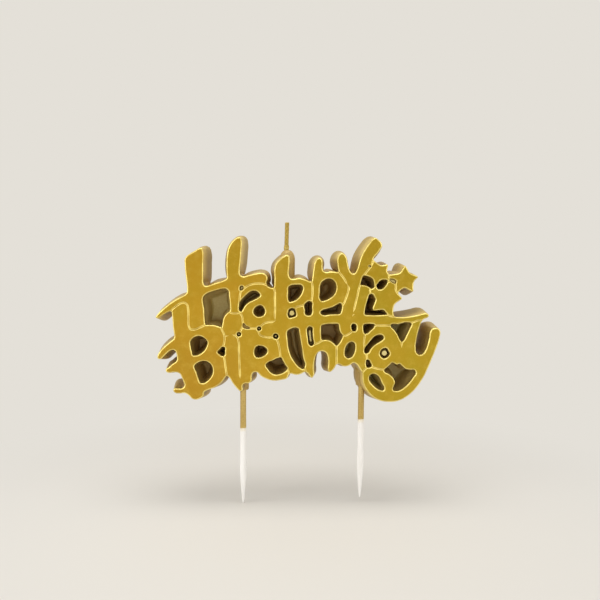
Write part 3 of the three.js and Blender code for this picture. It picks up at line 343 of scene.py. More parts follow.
def smooth_line(knots, closed, step):
    """The smooth line through knots, with points about step apart: each span is the cubic
    that leaves and arrives along the circle through the knot and its two neighbours, or
    straight along the span where the knot is a corner."""
    at = np.array(knots, float)
    corner = np.array([isinstance(knot, tuple) for knot in knots])[:, None]
    span = np.roll(at, -1, 0) - at if closed else np.diff(at, axis=0)
    length = np.linalg.norm(span, axis=1)[:, None]
    way = span / length
    if closed:
        back, ahead, before, after = np.roll(way, 1, 0), way, np.roll(length, 1, 0), length
    else:
        back, ahead = np.vstack([way[:1], way]), np.vstack([way, way[-1:]])
        before, after = np.vstack([length[:1], length]), np.vstack([length, length[-1:]])
    both = back * after + ahead * before
    both /= np.linalg.norm(both, axis=1)[:, None]
    leave = np.where(corner, ahead, both)
    arrive = np.where(corner, back, both)
    t = np.linspace(0, 1, SPAN_STEPS + 1)[:-1, None]
    parts = []
    for i in range(len(span)):
        j = (i + 1) % len(at)
        parts.append((2 * t ** 3 - 3 * t ** 2 + 1) * at[i]
                     + (t ** 3 - 2 * t ** 2 + t) * length[i] * leave[i]
                     + (3 * t ** 2 - 2 * t ** 3) * at[j]
                     + (t ** 3 - t ** 2) * length[i] * arrive[j])
    line = np.vstack(parts + [at[:1] if closed else at[-1:]])
    along = lengths(line)
    count = max(12, int(round(along[-1] / step)))
    places = np.linspace(0, along[-1], count, endpoint=not closed)
    return np.column_stack([np.interp(places, along, line[:, k]) for k in (0, 1)])


def eased(points, knots):
    """A closed line with its marked corners worn round: within reach of a corner, each point
    moves towards the middle of its neighbours, several times over."""
    corners = np.array([knot for knot in knots if isinstance(knot, tuple)])
    if not len(corners):
        return points
    apart = np.linalg.norm(points[:, None] - corners[None], axis=2).min(1)
    share = np.clip(1.4 - 1.4 * apart / CORNER_REACH, 0, 1)[:, None]
    for _ in range(CORNER_TURNS):
        middle = (np.roll(points, 1, 0) + np.roll(points, -1, 0)) / 2
        points = points + 0.8 * share * (middle - points)
    return points


def room(points, ways):
    """Free distance from each point of a closed line along its normal: the radius of the
    circle that touches the line there and just reaches another of its points, evened so that
    it grows along the line by ROOM_SLOPE at most."""
    apart = points[None] - points[:, None]
    along = np.einsum("ijk,ik->ij", apart, ways)
    square = (apart ** 2).sum(2)
    reach = np.where(along > TINY, square / (2 * np.maximum(along, TINY)), 1e3).min(1)
    ring = lengths(np.vstack([points, points[:1]]))
    gap = np.abs(ring[None, :-1] - ring[:-1, None])
    gap = np.minimum(gap, ring[-1] - gap)
    return (reach[None] + ROOM_SLOPE * gap).min(1)


class Outline:
    """A closed outline on the front of the lettering, anticlockwise, that can be drawn larger
    or smaller without ever crossing itself."""

    def __init__(self, knots, step=OUTLINE_STEP):
        knots = in_mm(knots)
        line = smooth_line(knots, True, step)
        after = np.roll(line, -1, 0)
        if (line[:, 0] * after[:, 1] - after[:, 0] * line[:, 1]).sum() < 0:
            line = line[::-1]
        self.points = eased(line, knots)
        ahead = np.roll(self.points, -1, 0) - np.roll(self.points, 1, 0)
        ahead /= np.linalg.norm(ahead, axis=1)[:, None]
        self.ways = np.column_stack([ahead[:, 1], -ahead[:, 0]])
        self.outside = room(self.points, self.ways)
        self.inside = room(self.points, -self.ways)

    def drawn(self, distance):
        """The outline moved along its normals. A distance d becomes d L / (d^4 + L^4)^(1/4),
        which comes close to the free distance L of each place but never reaches it."""
        if abs(distance) < TINY:
            return self.points
        free = ROOM_SHARE * (self.outside if distance > 0 else self.inside)
        size = abs(distance)
        step = size * free / (size ** 4 + free ** 4) ** 0.25
        return self.points + self.ways * (np.sign(distance) * step)[:, None]

    def stack(self, profile):
        """Rings for a surface: the outline drawn to each distance, at each depth below the
        face."""
        return np.array([np.insert(self.drawn(distance), 1, FRONT_Y + depth, axis=1)
                         for distance, depth in profile])


# ---- Surfaces


def placed(name, data):
    """A new object in the scene."""
    made = bpy.data.objects.new(name, data)
    studio.collection.objects.link(made)
    return made


def ring_faces(levels, count):
    """The numbers of the points in a stack of rings, and the faces between the rings."""
    here = np.arange(levels * count).reshape(levels, count)
    beside = np.roll(here, -1, 1)
    return here, np.stack([here[:-1], here[1:], beside[1:], beside[:-1]], -1).reshape(-1, 4)


def skin(name, rings):
    """Closed surface through rings of points (levels, points round, xyz): four-sided faces
    between neighbouring rings and one flat face over each end ring, all turned outwards."""
    here, sides = ring_faces(*rings.shape[:2])
    corners = rings.reshape(-1, 3)
    four = corners[sides]
    out = np.cross(four[:, 1] - four[:, 3], four[:, 2] - four[:, 0])
    flux = ((four.mean(1) - corners.mean(0)) * out).sum()
    ends = [here[0], here[-1][::-1]]
    if flux < 0:
        sides = sides[:, ::-1]
        ends = [end[::-1] for end in ends]
    mesh = bpy.data.meshes.new(name)
    mesh.from_pydata(corners.tolist(), [], sides.tolist() + [end.tolist() for end in ends])
    split = bmesh.new()
    split.from_mesh(mesh)
    bmesh.ops.triangulate(split, faces=[face for face in split.faces if len(face.verts) > 4])
    split.to_mesh(mesh)
    split.free()
    return placed(name, mesh)


def turned(name, radius, x, lean, round_points=64):
    """Round surface about an upright axis through (x, 0): radius is rows of [radius, z], or
    rows of [radii round the axis..., z]. The axis leans by lean about z = 0."""
    rows = np.asarray(radius, float)
    angle = circle(round_points)
    z = rows[:, -1:]
    across = rows[:, :-1] * np.ones((1, round_points))
    return skin(name, np.stack([
        x + z * math.tan(lean) + across * np.cos(angle),
        across * np.sin(angle),
        z + 0 * across,
    ], -1))


def softened(rings, widths):
    """Rings evened out along themselves: each point becomes the average of its ring under a
    bell-shaped weight that is widths points wide, one width for each ring."""
    wave = 2 * math.pi * np.fft.fftfreq(rings.shape[1])
    bell = np.exp(-0.5 * (wave * np.asarray(widths)[:, None]) ** 2)
    return np.fft.ifft(np.fft.fft(rings, axis=1) * bell[:, :, None], axis=1).real


def quarter(steps):
    """Pairs (1 - sin, 1 - cos) over a quarter turn."""
    angle = np.linspace(0, math.pi / 2, steps)
    return np.column_stack([1 - np.sin(angle), 1 - np.cos(angle)])


def blank():
    """The lettering without its openings: a flat face, an edge that turns through a quarter
    circle, a wall that spreads evenly towards the back, and a small round at the back edge."""
    front = quarter(7) * EDGE
    wall = np.linspace(0, 1, 9)[1:, None] * [WALL_SPREAD, DEPTH - BACK_EDGE - EDGE] + [0, EDGE]
    back = quarter(4)[1:] * BACK_EDGE
    profile = np.vstack([
        np.column_stack([-front[:, 0], front[:, 1]]),
        wall,
        np.column_stack([WALL_SPREAD - back[:, 1], DEPTH - BACK_EDGE + (BACK_EDGE - back[:, 0])]),
    ])
    return skin("blank", Outline(SILHOUETTE).stack(profile))


def opening(name, depth, rise, knots):
    """Cutter for one opening: straight above the face, a mouth that turns in through a quarter
    circle, walls that close in evenly and grow rounder with depth, a rounded foot, and a floor
    that may rise again: its edge drawn in towards its middle, along half a cosine wave to a
    flat top."""
    edge = min(EDGE, SHALLOW_SHARE * depth)
    foot = SWELL_FOOT if rise else min(FOOT, SHALLOW_SHARE * depth)
    close = (SWELL_CLOSING if rise else 1.0) * WALL_SPREAD * (depth - edge) / DEPTH
    mouth = quarter(7) * edge
    wall = np.linspace(0, 1, 6)[1:, None] * [-close, depth - edge - foot] + [0, edge]
    base = quarter(8)[1:] * foot
    profile = np.vstack([
        [[edge, -OVER_FACE]],
        np.column_stack([mouth[:, 0], mouth[:, 1] - LIFT]),
        wall,
        np.column_stack([-close - base[:, 1], depth - base[:, 0]]),
    ])
    rings = Outline(knots, OPENING_STEP).stack(profile)
    most = min(5.0, rings.shape[1] / 12)
    rings = softened(rings, np.clip((profile[:, 1] - edge) / 2, 0, most))
    if rise:
        share = np.linspace(0, 1, 18)[1:, None, None]
        centre = rings[-1].mean(0)
        around = rings[-1] - centre
        size = np.linalg.norm(around, axis=1)[:, None]
        if size.max() < 1.6 * size.min():
            around = around + np.minimum(2 * share, 1) * around * (size.mean() / size - 1)
        swell = centre + around * (1 - (1 - SWELL_TOP) * share)
        steep = np.clip(2.6 * share[:, :, 0], 0, 1)
        swell[:, :, 1] -= rise * (1 - np.cos(math.pi * steep)) / 2
        rings = np.vstack([rings, swell])
    return skin(name, rings)


def groove(name, knots, fade_start=0, fade_end=0):
    """Cutter carried along a groove's line. Its section is two quarter ellipses that meet in a
    fine line at the bottom, as where two round-edged letters touch. Where an end fades out,
    it starts from a small share of its size."""
    line = smooth_line(in_mm(knots), False, GROOVE_STEP)
    ahead = np.gradient(line, axis=0)
    ahead /= np.linalg.norm(ahead, axis=1)[:, None]
    side = np.column_stack([ahead[:, 1], -ahead[:, 0]])
    along = lengths(line)
    size = np.ones(len(line))
    for fades, away in ((fade_start, along), (fade_end, along[-1] - along)):
        if fades:
            size = np.minimum(size, FADED_SHARE + away / GROOVE_FADE)
    across = np.sin(np.linspace(-math.pi / 2, math.pi / 2, 13))
    across = np.sign(across) * np.abs(across) ** 1.4
    deep = 1 - np.sqrt(1 - (1 - np.abs(across)) ** 2)
    u = np.r_[-1, across, 1][None] * (GROOVE_HALF * size)[:, None]
    y = deep[None] * (GROOVE_DEPTH * size)[:, None] - LIFT
    y = np.column_stack([0 * size - OVER_FACE, y, 0 * size - OVER_FACE])
    return skin(name, np.stack([
        line[:, :1] + side[:, :1] * u,
        FRONT_Y + y,
        line[:, 1:] + side[:, 1:] * u,
    ], -1))


def collar(name, knots, pick, rough):
    """Wax drawn down round a pick: a smooth profile turned about the pick's axis, with slow
    waves of the size rough round it and up it, as the wax ran and set."""
    rows = smooth_line(knots, False, 0.15)
    angle = circle(64)[None]
    z = rows[:, 1:]
    wave = (np.sin(3 * angle + 1.7 * z) + 0.6 * np.sin(5 * angle - 2.3 * z + 1)
            + 0.5 * np.sin(2 * angle + 4.1 * z + 2))
    shape = np.column_stack([rows[:, :1] + rough * wave, z])
    return turned(name, shape, pick["x"], pick["lean"])


def baked(piece, unions, cuts):
    """The mesh of a piece after other closed surfaces are joined to it and cut out of it."""
    groups = []
    for operation, others in (("UNION", unions), ("DIFFERENCE", cuts)):
        group = bpy.data.collections.new(operation.lower())
        groups.append(group)
        for other in others:
            group.objects.link(other)
        step = piece.modifiers.new(operation.lower(), "BOOLEAN")
        step.operation = operation
        step.solver = "MANIFOLD"
        step.operand_type = "COLLECTION"
        step.collection = group
    ready = piece.evaluated_get(bpy.context.evaluated_depsgraph_get())
    mesh = bpy.data.meshes.new_from_object(ready)
    mesh.materials.clear()  # the cuts leave an empty slot
    for other in [piece] + unions + cuts:
        old = other.data
        bpy.data.objects.remove(other)
        bpy.data.meshes.remove(old)
    for group in groups:
        bpy.data.collections.remove(group)
    return mesh


def corners_of(mesh):
    """The mesh's points as an array of rows."""
    points = np.empty(len(mesh.vertices) * 3)
    mesh.vertices.foreach_get("co", points)
    return points.reshape(-1, 3)


def keep_value(mesh, name, values):
    """Stores one number for each point of the mesh, for its material to read."""
    layer = mesh.attributes.new(name, "FLOAT", "POINT")
    layer.data.foreach_set("value", np.asarray(values, dtype=np.float32))


def inside(points, line):
    """Which points lie inside a closed line: a ray to the right crosses it an odd number of
    times."""
    x, z = points[:, :1], points[:, 1:]
    ax, az = line[:, 0][None], line[:, 1][None]
    bx, bz = np.roll(line[:, 0], -1)[None], np.roll(line[:, 1], -1)[None]
    spans = (az > z) != (bz > z)
    rise = np.where(bz == az, 1.0, bz - az)
    return (spans & (x < (bx - ax) * (z - az) / rise + ax)).sum(1) % 2 == 1


def finished(name, mesh, node, material):
    """Puts a mesh worked out in millimetres into the scene as a piece that stands for a
    node."""
    mesh.name = name
    mesh.vertices.foreach_set("co", (corners_of(mesh) * MM).ravel())
    mesh.shade_smooth()
    mesh.update()
    piece = placed(name, mesh)
    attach(piece, "root")
    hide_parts(node)
    mesh.materials.append(material)
    return piece


def lettering_mesh():
    """The whole casting, with two values for its material: the first, 1 inside the openings
    and less where other letters stand close or wax is drawn down, says how much shade is
    painted there; the second says how much painted light the depth of an opening gets."""
    unions = [
        collar("left_collar", LEFT_COLLAR, LEFT_PICK, 0.02),
        collar("right_collar", RIGHT_COLLAR, RIGHT_PICK, 0.045),
        turned("mound", smooth_line(MOUND, False, 0.12), MOUND_X, 0),
    ]
    cuts = [opening(name, depth, rise, knots) for name, depth, rise, _, knots in OPENINGS]
    cuts += [groove("groove", *row) for row in GROOVES]
    for pick in (LEFT_PICK, RIGHT_PICK):
        top = pick["tip"] + PICK_LENGTH + SOCKET_END_GAP
        cuts.append(turned("socket", [[PICK_R + SOCKET_GAP, 0], [PICK_R + SOCKET_GAP, top]],
                           pick["x"], pick["lean"], 48))
    bore = [[WICK_R + BORE_GAP, WICK_BOTTOM_Z - SOCKET_END_GAP], [WICK_R + BORE_GAP, WICK_BASE_Z]]
    cuts.append(turned("bore", bore, WICK_BASE_X - WICK_BASE_Z * math.tan(WICK_LEAN), WICK_LEAN,
                       32))
    mesh = baked(blank(), unions, cuts)
    points = corners_of(mesh)
    level, depth = points[:, [0, 2]], points[:, 1] - FRONT_Y
    painted_shade = np.zeros(len(points))
    pale = np.zeros(len(points))
    # Painted shade inside every opening, and painted light on the floors and lower walls of some
    for _, deep, _, light, knots in OPENINGS:
        outline = Outline(knots, MARK_STEP)
        mouth = outline.drawn(EDGE + MARGIN)
        low, high = mouth.min(0), mouth.max(0)
        near = np.where(((level > low) & (level < high)).all(1)
                        & (depth > MARGIN) & (depth < THROUGH + FLOOR_MARGIN))[0]
        painted_shade[near[inside(level[near], mouth)]] = 1.0
        # Painted light on the floor and the lower walls of some openings
        if light:
            floor = inside(level[near], outline.drawn(-WALL_SPREAD * deep / DEPTH - FLOOR_REACH))
            wall = np.clip((depth[near] - PALE_FROM) / PALE_OVER, 0, 1)
            wall = PALE_WALL_SHARE * wall * inside(level[near], mouth)
            pale[near] = np.maximum(pale[near], light * np.where(floor, 1, wall))
    # Painted shade on the outer walls where other letters stand close
    outer = np.where((painted_shade == 0) & (depth > WALL_FROM))[0]
    painted_shade[outer] = narrowness(level[outer])
    # Painted shade on the wax round the picks and on the mound at the foot of the wick
    for pick in (LEFT_PICK, RIGHT_PICK):
        off = points - [pick["x"], 0, 0] - points[:, 2:] * [math.tan(pick["lean"]), 0, 0]
        close = np.hypot(off[:, 0], off[:, 1]) < SHADED_COLLAR["reach"]
        painted_shade[close & (points[:, 2] < SHADED_COLLAR["below"])] = SHADED_COLLAR["painted_shade"]
    close = np.hypot(points[:, 0] - MOUND_X, points[:, 1]) < SHADED_MOUND["reach"]
    close &= points[:, 2] > SHADED_MOUND["above"]
    painted_shade[close] = np.maximum(painted_shade[close], SHADED_MOUND["painted_shade"])
    keep_value(mesh, "painted_shade", painted_shade)
    keep_value(mesh, "pale", pale)
    return mesh


def narrowness(level):
    """0 to 1 for points of the outer wall, how much shade is painted there: how closely other
    letters face it, from the free distance of the outline at its nearest point."""
    outline = Outline(SILHOUETTE, 0.8)
    apart = ((level[:, None] - outline.drawn(WALL_SPREAD / 2)[None]) ** 2).sum(2)
    free = outline.outside[apart.argmin(1)]
    return np.clip((WIDE_GAP - free) / (WIDE_GAP - CLOSE_GAP), 0, 1)


def wick_mesh():
    """A round braid on a leaning axis. Two families of four strands wind round it in opposite
    directions, each a row of rounded ridges |cos|, and take turns on top where they cross, by
    the sign of the product of their cosines. At the foot the strands drown in a bead of wax,
    and above the braid stands the cut end. The mesh keeps where the creases are, for the
    painted shade in them, and where wax and cut are."""
    last = WICK_TOP_Z - CROWN_HEIGHT
    z = np.r_[np.linspace(WICK_BOTTOM_Z, BRAID_BOTTOM_Z, 24)[:-1],
              np.linspace(BRAID_BOTTOM_Z, last, 190)][:, None]
    angle = circle(ROUND_POINTS)[None]
    left, right = np.cos(2 * angle + BRAID_WIND * z), np.cos(2 * angle - BRAID_WIND * z)
    turn = 0.3 * left * right
    strands = np.maximum(np.abs(left) + turn, np.abs(right) - turn)
    strands = np.clip(strands, 0, 1.1) / 1.1
    above = z - WICK_BASE_Z
    shown = np.clip((above - 0.25) / 0.8, 0, 1)
    shown = shown * shown * (3 - 2 * shown)
    body = WICK_R * (1.02 - BRAID_DEPTH * shown * (1 - strands))
    bead = (BEAD_R - WICK_R) * np.exp(-((above - 0.45) / 0.75) ** 4)
    wobble = 0.012 * np.sin(0.9 * z + 2 * angle) * shown
    radius = np.minimum(body + bead + wobble, BEAD_R)
    radius = radius * np.where(z < 62.6, 0.985, 1.0)
    radius = np.vstack([radius, radius[-1:] * CROWN[:, 1:]])
    end = np.zeros((len(CROWN), ROUND_POINTS))
    height = np.vstack([z + 0 * angle, last + CROWN[:, :1] + end])
    x = WICK_BASE_X + (height - WICK_BASE_Z) * math.tan(WICK_LEAN)
    piece = skin("braid", np.stack([
        x + radius * np.cos(angle), radius * np.sin(angle), height], -1))
    mesh = piece.data
    bpy.data.objects.remove(piece)
    waxed = np.exp(-(above / 0.6) ** 4) + 0 * angle
    # Where the creases are, for the painted shade in them, where the wax is, and the cut end
    for name, along, on_top in (("crease_shade", (1 - strands) * shown, end), ("waxed", waxed, end),
                                ("cut_end", 0 * strands, end + 1)):
        keep_value(mesh, name, np.vstack([along, on_top]).ravel())
    return mesh


def pick_mesh(pick):
    """A moulded round pick: a slender ogive point, a straight shank and a blunt top with a
    rounded edge, turned about its axis. Two fine ridges, narrow bells in the angle, run up
    its sides where the halves of the mould met."""
    tip = pick["tip"]
    top = tip + PICK_LENGTH
    shape = smooth_line([
        [0.1, tip], [0.24, tip + 0.09], [0.31, tip + 0.5], [0.52, tip + 2.6], [0.74, tip + 5.0],
        [0.94, tip + 7.4], [1.06, tip + 8.9], [PICK_R, tip + PICK_POINT_LENGTH],
        [PICK_R, tip + 20], [PICK_R, tip + 40], [PICK_R, top - 0.2], [1.04, top - 0.06],
        [0.9, top]], False, 0.35)
    angle = circle(ROUND_POINTS)[None]
    z = shape[:, 1:]
    from_seam = np.abs((angle + math.pi / 2) % math.pi - math.pi / 2)
    ridge = PICK_SEAM["height"] * np.exp(-(from_seam / PICK_SEAM["half_width"]) ** 2)
    ridge = ridge * np.clip((z - tip - 0.6) / 2, 0, 1)
    ridge = ridge * np.clip((top - PICK_SEAM["below_top"] - z) / 3, 0, 1)
    piece = turned("pick", np.column_stack([shape[:, :1] - 0.02 + ridge, z]), pick["x"],
                   pick["lean"], ROUND_POINTS)
    mesh = piece.data
    bpy.data.objects.remove(piece)
    border = pick["gold_from"] + 0.14 * np.sin(angle + 0.6) + 0.07 * np.sin(3 * angle)
    keep_value(mesh, "above_border", (z - border).ravel())
    return mesh


# ---- Finishes


def tint(red, green, blue):
    """A colour given as on a screen, 0 to 255, as the shader's linear numbers."""
    parts = [part / 255 for part in (red, green, blue)]
    return [p / 12.92 if p <= 0.04045 else ((p + 0.055) / 1.055) ** 2.4 for p in parts] + [1.0]


class Value:
    """One socket of a finish. Arithmetic on it adds Math nodes."""

    def __init__(self, finish, socket):
        self.finish = finish
        self.socket = socket

    def maths(self, operation, *others):
        node = self.finish.node("Math", {"operation": operation},
                                dict(enumerate(others)))
        return Value(self.finish, node.outputs[0])

    def __add__(self, other):
        return self.maths("ADD", self, other)

    def __sub__(self, other):
        return self.maths("SUBTRACT", self, other)

    def __rsub__(self, other):
        return self.maths("SUBTRACT", other, self)

    def __mul__(self, other):
        return self.maths("MULTIPLY", self, other)

    def __pow__(self, other):
        return self.maths("POWER", self, other)

    __radd__ = __add__
    __rmul__ = __mul__

    def most(self, other):
        return self.maths("MAXIMUM", self, other)

    def from_to(self, low, high):
        """0 below low, 1 above high, with a soft turn between them."""
        node = self.finish.node("MapRange", {"interpolation_type": "SMOOTHSTEP"}, {
            "Value": self, "From Min": low, "From Max": high, "To Min": 0.0, "To Max": 1.0})
        return Value(self.finish, node.outputs[0])


class Nodes:
    """The empty node tree of a material or a world, and the way to add a node to it."""

    def __init__(self, owner):
        owner.use_nodes = True
        self.tree = owner.node_tree
        self.tree.nodes.clear()

    def node(self, kind, settings, inputs):
        """A shader node: its settings first, then the values or links of its sockets."""
        made = self.tree.nodes.new("ShaderNode" + kind)
        for key, value in settings.items():
            setattr(made, key, value)
        for key, value in inputs.items():
            if isinstance(value, Value):
                value = value.socket
            if isinstance(value, bpy.types.NodeSocket):
                self.tree.links.new(value, made.inputs[key])
            else:
                made.inputs[key].default_value = value
        return made

    def looked_at(self):
        """1 for rays from the camera, mirrored rays and rays through something clear."""
        path = self.node("LightPath", {}, {}).outputs
        seen = Value(self, path["Is Camera Ray"]).most(Value(self, path["Is Glossy Ray"]))
        return seen.most(Value(self, path["Is Transmission Ray"]))


class Finish(Nodes):
    """A material: one Principled shader, with nodes added by the methods below."""

    def __init__(self, name, fixed):
        self.material = bpy.data.materials.new(name)
        super().__init__(self.material)
        self.shader = self.node("BsdfPrincipled", {}, fixed)
        self.end = self.node("OutputMaterial", {}, {"Surface": self.shader.outputs[0]})
        place = self.node("TexCoord", {}, {}).outputs["Object"]
        scaled = self.node("VectorMath", {"operation": "SCALE"},
                           {0: place, "Scale": 1 / MM})
        self.place = scaled.outputs[0]
        parts = self.node("SeparateXYZ", {}, {0: self.place}).outputs
        self.x, self.y, self.z = (Value(self, part) for part in parts)

    def noise(self, per_mm, detail, rough, stretch=(1, 1, 1), shift=(0, 0, 0)):
        """Soft noise about 0.5, with per_mm waves a millimetre."""
        moved = self.node("Mapping", {}, {
            "Vector": self.place, "Location": shift, "Scale": stretch})
        made = self.node("TexNoise", {}, {
            "Vector": moved.outputs[0], "Scale": per_mm, "Detail": detail, "Roughness": rough})
        return Value(self, made.outputs[0])

    def kept(self, name):
        """A number that the mesh keeps for each of its points."""
        made = self.node("Attribute", {"attribute_name": name}, {})
        return Value(self, made.outputs["Fac"])

    def blend(self, share, first, second):
        """The colour between two colours."""
        made = self.node("Mix", {"data_type": "RGBA"}, {0: share, 6: first, 7: second})
        return made.outputs[2]

    def relief(self, height, depth_mm, strength):
        """Fine relief of a height from 0 to 1, depth_mm high."""
        made = self.node("Bump", {}, {
            "Height": height, "Distance": depth_mm * MM, "Strength": strength})
        self.tree.links.new(made.outputs[0], self.shader.inputs["Normal"])

    def surface(self, **values):
        """Joins colour, roughness and metallic to the shader."""
        for key, value in values.items():
            socket = value.socket if isinstance(value, Value) else value
            self.tree.links.new(socket, self.shader.inputs[key.replace("_", " ").title()])


def lacquered_wax():
    """Metallic gold lacquer over cast wax: on the faces ochre that turns olive to the right
    and amber low on the left, with a few pale grains, a painted highlight as a pale line over
    every edge, painted shade that darkens the walls with depth, brownish painted shade in the
    openings with painted light that grows with depth and is strongest on the floors of some
    of them, and a matt back."""
    wax = Finish("lacquered_wax", {"IOR": 1.5, "Coat Roughness": 0.25})
    depth = wax.y - FRONT_Y
    drift = wax.noise(0.09, 2.0, 0.45)
    cloud = wax.noise(0.3, 3.0, 0.5)
    grain = wax.noise(1.4, 5.0, 0.62, shift=(3, 7, 1))
    dust = wax.noise(6.0, 2.0, 0.5)
    # How much shade and how much light are painted at each point, as the mesh keeps them
    painted_shade = wax.kept("painted_shade")
    pale = wax.kept("pale")

    olive = 0.65 * wax.x.from_to(-25, 30) + 0.35 * drift.from_to(0.36, 0.64)
    face = wax.blend(olive, tint(182, 141, 23), tint(168, 142, 20))
    amber = (1 - wax.x.from_to(-32, -10)) * (1 - wax.z.from_to(22, 42))
    face = wax.blend(0.6 * amber, face, tint(168, 126, 24))
    face = wax.blend((cloud * 0.7 + grain * 0.3).from_to(0.45, 0.75) * 0.5, face,
                     tint(200, 168, 62))
    face = wax.blend(dust.from_to(0.66, 0.74) * 0.4, face, tint(228, 206, 124))
    face = wax.blend(grain.from_to(0.64, 0.8) * 0.3, face, tint(148, 110, 22))

    # Painted shade down the walls: light near the face, darker towards the back, with darker
    # patches at random
    wall = wax.blend((depth + grain * 1.6).from_to(0.6, 9.5), tint(216, 188, 104),
                     tint(168, 142, 74))
    wall = wax.blend(cloud.from_to(0.5, 0.75) * 0.4, wall, tint(160, 130, 62))
    # Painted shade and light inside the openings: dark near the mouth, lighter with depth, and
    # lightest where the mesh asks for painted light
    painted_recess_light_and_shade = wax.blend((depth + grain * 1.0).from_to(1.0, 9.0), tint(148, 122, 60),
                     tint(188, 157, 94))
    painted_recess_light_and_shade = wax.blend(pale * (0.85 + 0.25 * grain.from_to(0.4, 0.6)), painted_recess_light_and_shade, tint(216, 202, 138))
    side = wax.blend(painted_shade, wall, painted_recess_light_and_shade)
    back = wax.blend(cloud.from_to(0.3, 0.7), tint(164, 136, 62), tint(174, 146, 72))
    side = wax.blend(depth.from_to(12.7, 12.95), side, back)

    # Painted highlight: a pale line along every rounded edge and in the grooves
    painted_edge_highlight = depth.from_to(0.001, 0.03) * (1 - depth.from_to(0.26, 0.54))
    painted_edge_highlight = painted_edge_highlight * (0.52 + 0.38 * cloud.from_to(0.35, 0.6))
    colour = wax.blend(depth.from_to(0.3, 0.6), face, side)
    colour = wax.blend(painted_edge_highlight, colour, tint(248, 228, 132))

    far = depth.from_to(0.5, 3.0)
    metallic = 0.66 - 0.36 * far - 0.15 * (painted_shade * far) - 0.3 * painted_edge_highlight
    roughness = 0.34 + 0.1 * grain + 0.14 * far - 0.08 * painted_edge_highlight
    peel = wax.noise(2.2, 2.0, 0.5)
    coarse = wax.noise(1.1, 4.0, 0.6, stretch=(1, 0.6, 1))
    height = peel * (0.25 - 0.1 * far) + coarse * (0.1 + 0.8 * far) + dust * 0.06
    wax.relief(height, 0.09, 0.6)
    wax.surface(base_color=colour, metallic=metallic, roughness=roughness)
    return wax.material


def lacquered_braid():
    """Waxed cotton under thin gold lacquer: fine fibres along the strands, painted shade in the
    creases between them, a pale bead of wax at the foot and bare cotton on the cut end."""
    braid = Finish("lacquered_braid", {"IOR": 1.47, "Specular IOR Level": 0.4})
    fibre = braid.noise(5.0, 3.0, 0.6, stretch=(1, 1, 0.35))
    patch = braid.noise(0.9, 2.0, 0.5)
    crease_shade = braid.kept("crease_shade").from_to(0.15, 0.75)
    waxed = braid.kept("waxed")
    cut = braid.kept("cut_end")
    colour = braid.blend((fibre * 0.5 + patch * 0.5).from_to(0.35, 0.65), tint(160, 133, 54),
                         tint(182, 156, 72))
    # Painted shade in the creases between the strands
    colour = braid.blend(crease_shade * 0.28, colour, tint(122, 96, 40))
    colour = braid.blend(waxed * 0.6, colour, tint(206, 184, 100))
    colour = braid.blend(cut * 0.6, colour, tint(222, 206, 160))
    braid.relief(fibre * 0.6 + patch * 0.4, 0.04, 0.6)
    braid.surface(base_color=colour, metallic=0.38 - 0.2 * waxed - 0.2 * cut,
                  roughness=0.52 + 0.14 * fibre - 0.2 * waxed)
    return braid.material


def pick_plastic():
    """White moulded plastic with a faint flow pattern, under gold overspray that ends in a
    cream edge and loose droplets just below the border that the mesh keeps."""
    pick = Finish("pick_plastic", {"IOR": 1.49, "Specular IOR Level": 0.45})
    above = pick.kept("above_border")
    spray = pick.noise(3.2, 3.0, 0.65)
    flow = pick.noise(0.35, 2.0, 0.5, stretch=(1, 1, 0.25))
    grit = pick.noise(9.0, 2.0, 0.5)
    gold = (above + 0.5 * (spray - 0.5)).from_to(-0.12, 0.22)
    drops = grit.from_to(0.6, 0.7) * above.from_to(-1.5, 0.1)
    cream = above.from_to(-1.6, -0.1)
    white = pick.blend(flow.from_to(0.3, 0.7), tint(240, 237, 232), tint(247, 245, 242))
    white = pick.blend(cream * 0.55, white, tint(236, 222, 184))
    lacquer = pick.blend((spray * 0.6 + flow * 0.4).from_to(0.35, 0.65), tint(178, 148, 76),
                         tint(204, 178, 108))
    lacquer = pick.blend(grit.from_to(0.6, 0.72) * 0.4, lacquer, tint(228, 210, 150))
    share = gold.most(drops * 0.55)
    pick.relief(grit * (0.3 + 0.5 * gold) + flow * 0.3, 0.03, 0.5)
    pick.surface(base_color=pick.blend(share, white, lacquer), metallic=0.55 * share,
                 roughness=0.36 + 0.08 * share + 0.08 * grit)
    return pick.material


# ---- The pieces

letters = finished("cast_lettering", lettering_mesh(), "wax_lettering",
                   lacquered_wax())
letters.data.set_sharp_from_angle(angle=math.radians(36))
level = letters.modifiers.new("level_faces", "WEIGHTED_NORMAL")
level.mode = "FACE_AREA"
level.keep_sharp = True

finished("braided_wick", wick_mesh(), "wick", lacquered_braid())

plastic = pick_plastic()
for side, pick in (("left", LEFT_PICK), ("right", RIGHT_PICK)):
    stick = finished(side + "_moulded_pick", pick_mesh(pick), side + "_pick",
                     plastic)
    stick.data.set_sharp_from_angle(angle=math.radians(40))


# ---- Stage, light and camera

PAPER = tint(228, 224, 216)
FLOOR_Z = -29.12
CENTRE = (-2, 0, 36)

# Camera, with its focal length and the shift of its axis in pixels of the photograph
SENSOR = 36
PHOTO_PIXELS = 600
FOCAL_PIXELS = 586
SHIFT_PIXELS = (20, -15)
CAMERA_PLACE = (-0.008, -0.2135, 0.0503)


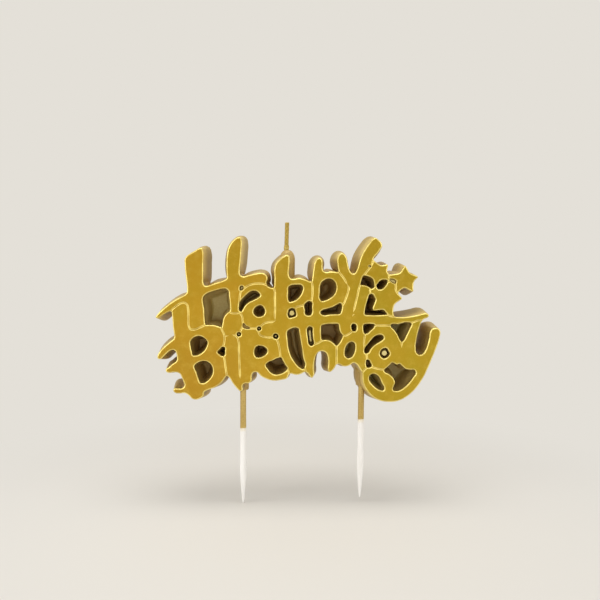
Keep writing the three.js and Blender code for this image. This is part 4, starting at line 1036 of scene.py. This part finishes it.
def stage_floor():
    """A round pale floor under the points of the picks. It takes the shadow near the object,
    and shows the background's own colour further out."""
    angle = circle(96)
    reach = np.array([0.05, 60, 200, 600, 2000, 6000])[:, None]
    points = np.stack([reach * np.cos(angle), reach * np.sin(angle), 0 * reach * angle], -1)
    here, faces = ring_faces(*points.shape[:2])
    mesh = bpy.data.meshes.new("floor")
    corners = (points.reshape(-1, 3) + [0, 0, FLOOR_Z]) * MM
    mesh.from_pydata(corners.tolist(), [], faces.tolist() + [here[0].tolist()])
    floor = placed("floor", mesh)
    plain = Finish("plain_floor", {"Base Color": tint(214, 210, 202), "Roughness": 0.9,
                                   "Specular IOR Level": 0.1})
    away = (plain.x * plain.x + plain.y * plain.y) ** 0.5
    glow = plain.node("Emission", {}, {"Color": PAPER, "Strength": 1.0})
    share = plain.node("MixShader", {}, {
        0: away.from_to(30, 170) * plain.looked_at(), 1: plain.shader.outputs[0],
        2: glow.outputs[0]})
    plain.tree.links.new(share.outputs[0], plain.end.inputs["Surface"])
    mesh.materials.append(plain.material)


def backdrop_world():
    """The background's plain colour where it is looked at or mirrored, and soft light of
    about the same colour elsewhere."""
    world = bpy.data.worlds.new("soft_light")
    nodes = Nodes(world)
    soft = nodes.node("Background", {}, {
        "Color": (1.0, 0.985, 0.965, 1.0), "Strength": 0.55})
    paper = nodes.node("Background", {}, {"Color": PAPER, "Strength": 1.0})
    either = nodes.node("MixShader", {}, {
        0: nodes.looked_at(), 1: soft.outputs[0], 2: paper.outputs[0]})
    nodes.node("OutputWorld", {}, {"Surface": either.outputs[0]})
    studio.world = world


def soft_box(name, place, size, power):
    """A rectangular lamp at a place in millimetres, turned towards the candle."""
    lamp = bpy.data.lights.new(name, "AREA")
    lamp.shape = "RECTANGLE"
    lamp.size, lamp.size_y = size[0] * MM, size[1] * MM
    lamp.energy = power
    holder = placed(name, lamp)
    way = np.array(CENTRE, float) - np.array(place, float)
    holder.location = [p * MM for p in place]
    flat = math.hypot(way[0], way[1])
    holder.rotation_euler = (math.atan2(flat, -way[2]), 0, math.atan2(-way[0], way[1]))


def matched_camera():
    """The camera that puts the model's front outline on the photograph's."""
    camera = bpy.data.cameras.new("camera")
    camera.sensor_width = SENSOR
    camera.lens = SENSOR * FOCAL_PIXELS / PHOTO_PIXELS
    camera.shift_x, camera.shift_y = (shift / PHOTO_PIXELS for shift in SHIFT_PIXELS)
    camera.clip_start = 0.01
    holder = placed("camera", camera)
    holder.location = CAMERA_PLACE
    holder.rotation_euler = (math.radians(90), 0, 0)
    studio.camera = holder


stage_floor()
backdrop_world()
soft_box("left_box", (-330, -170, 150), (220, 320), 0.66)
soft_box("right_box", (330, -150, 120), (220, 320), 0.42)
soft_box("top_box", (0, -60, 420), (360, 200), 1.0)
soft_box("low_box", (0, -260, -10), (300, 40), 0.06)
matched_camera()
studio.view_settings.view_transform = "Standard"
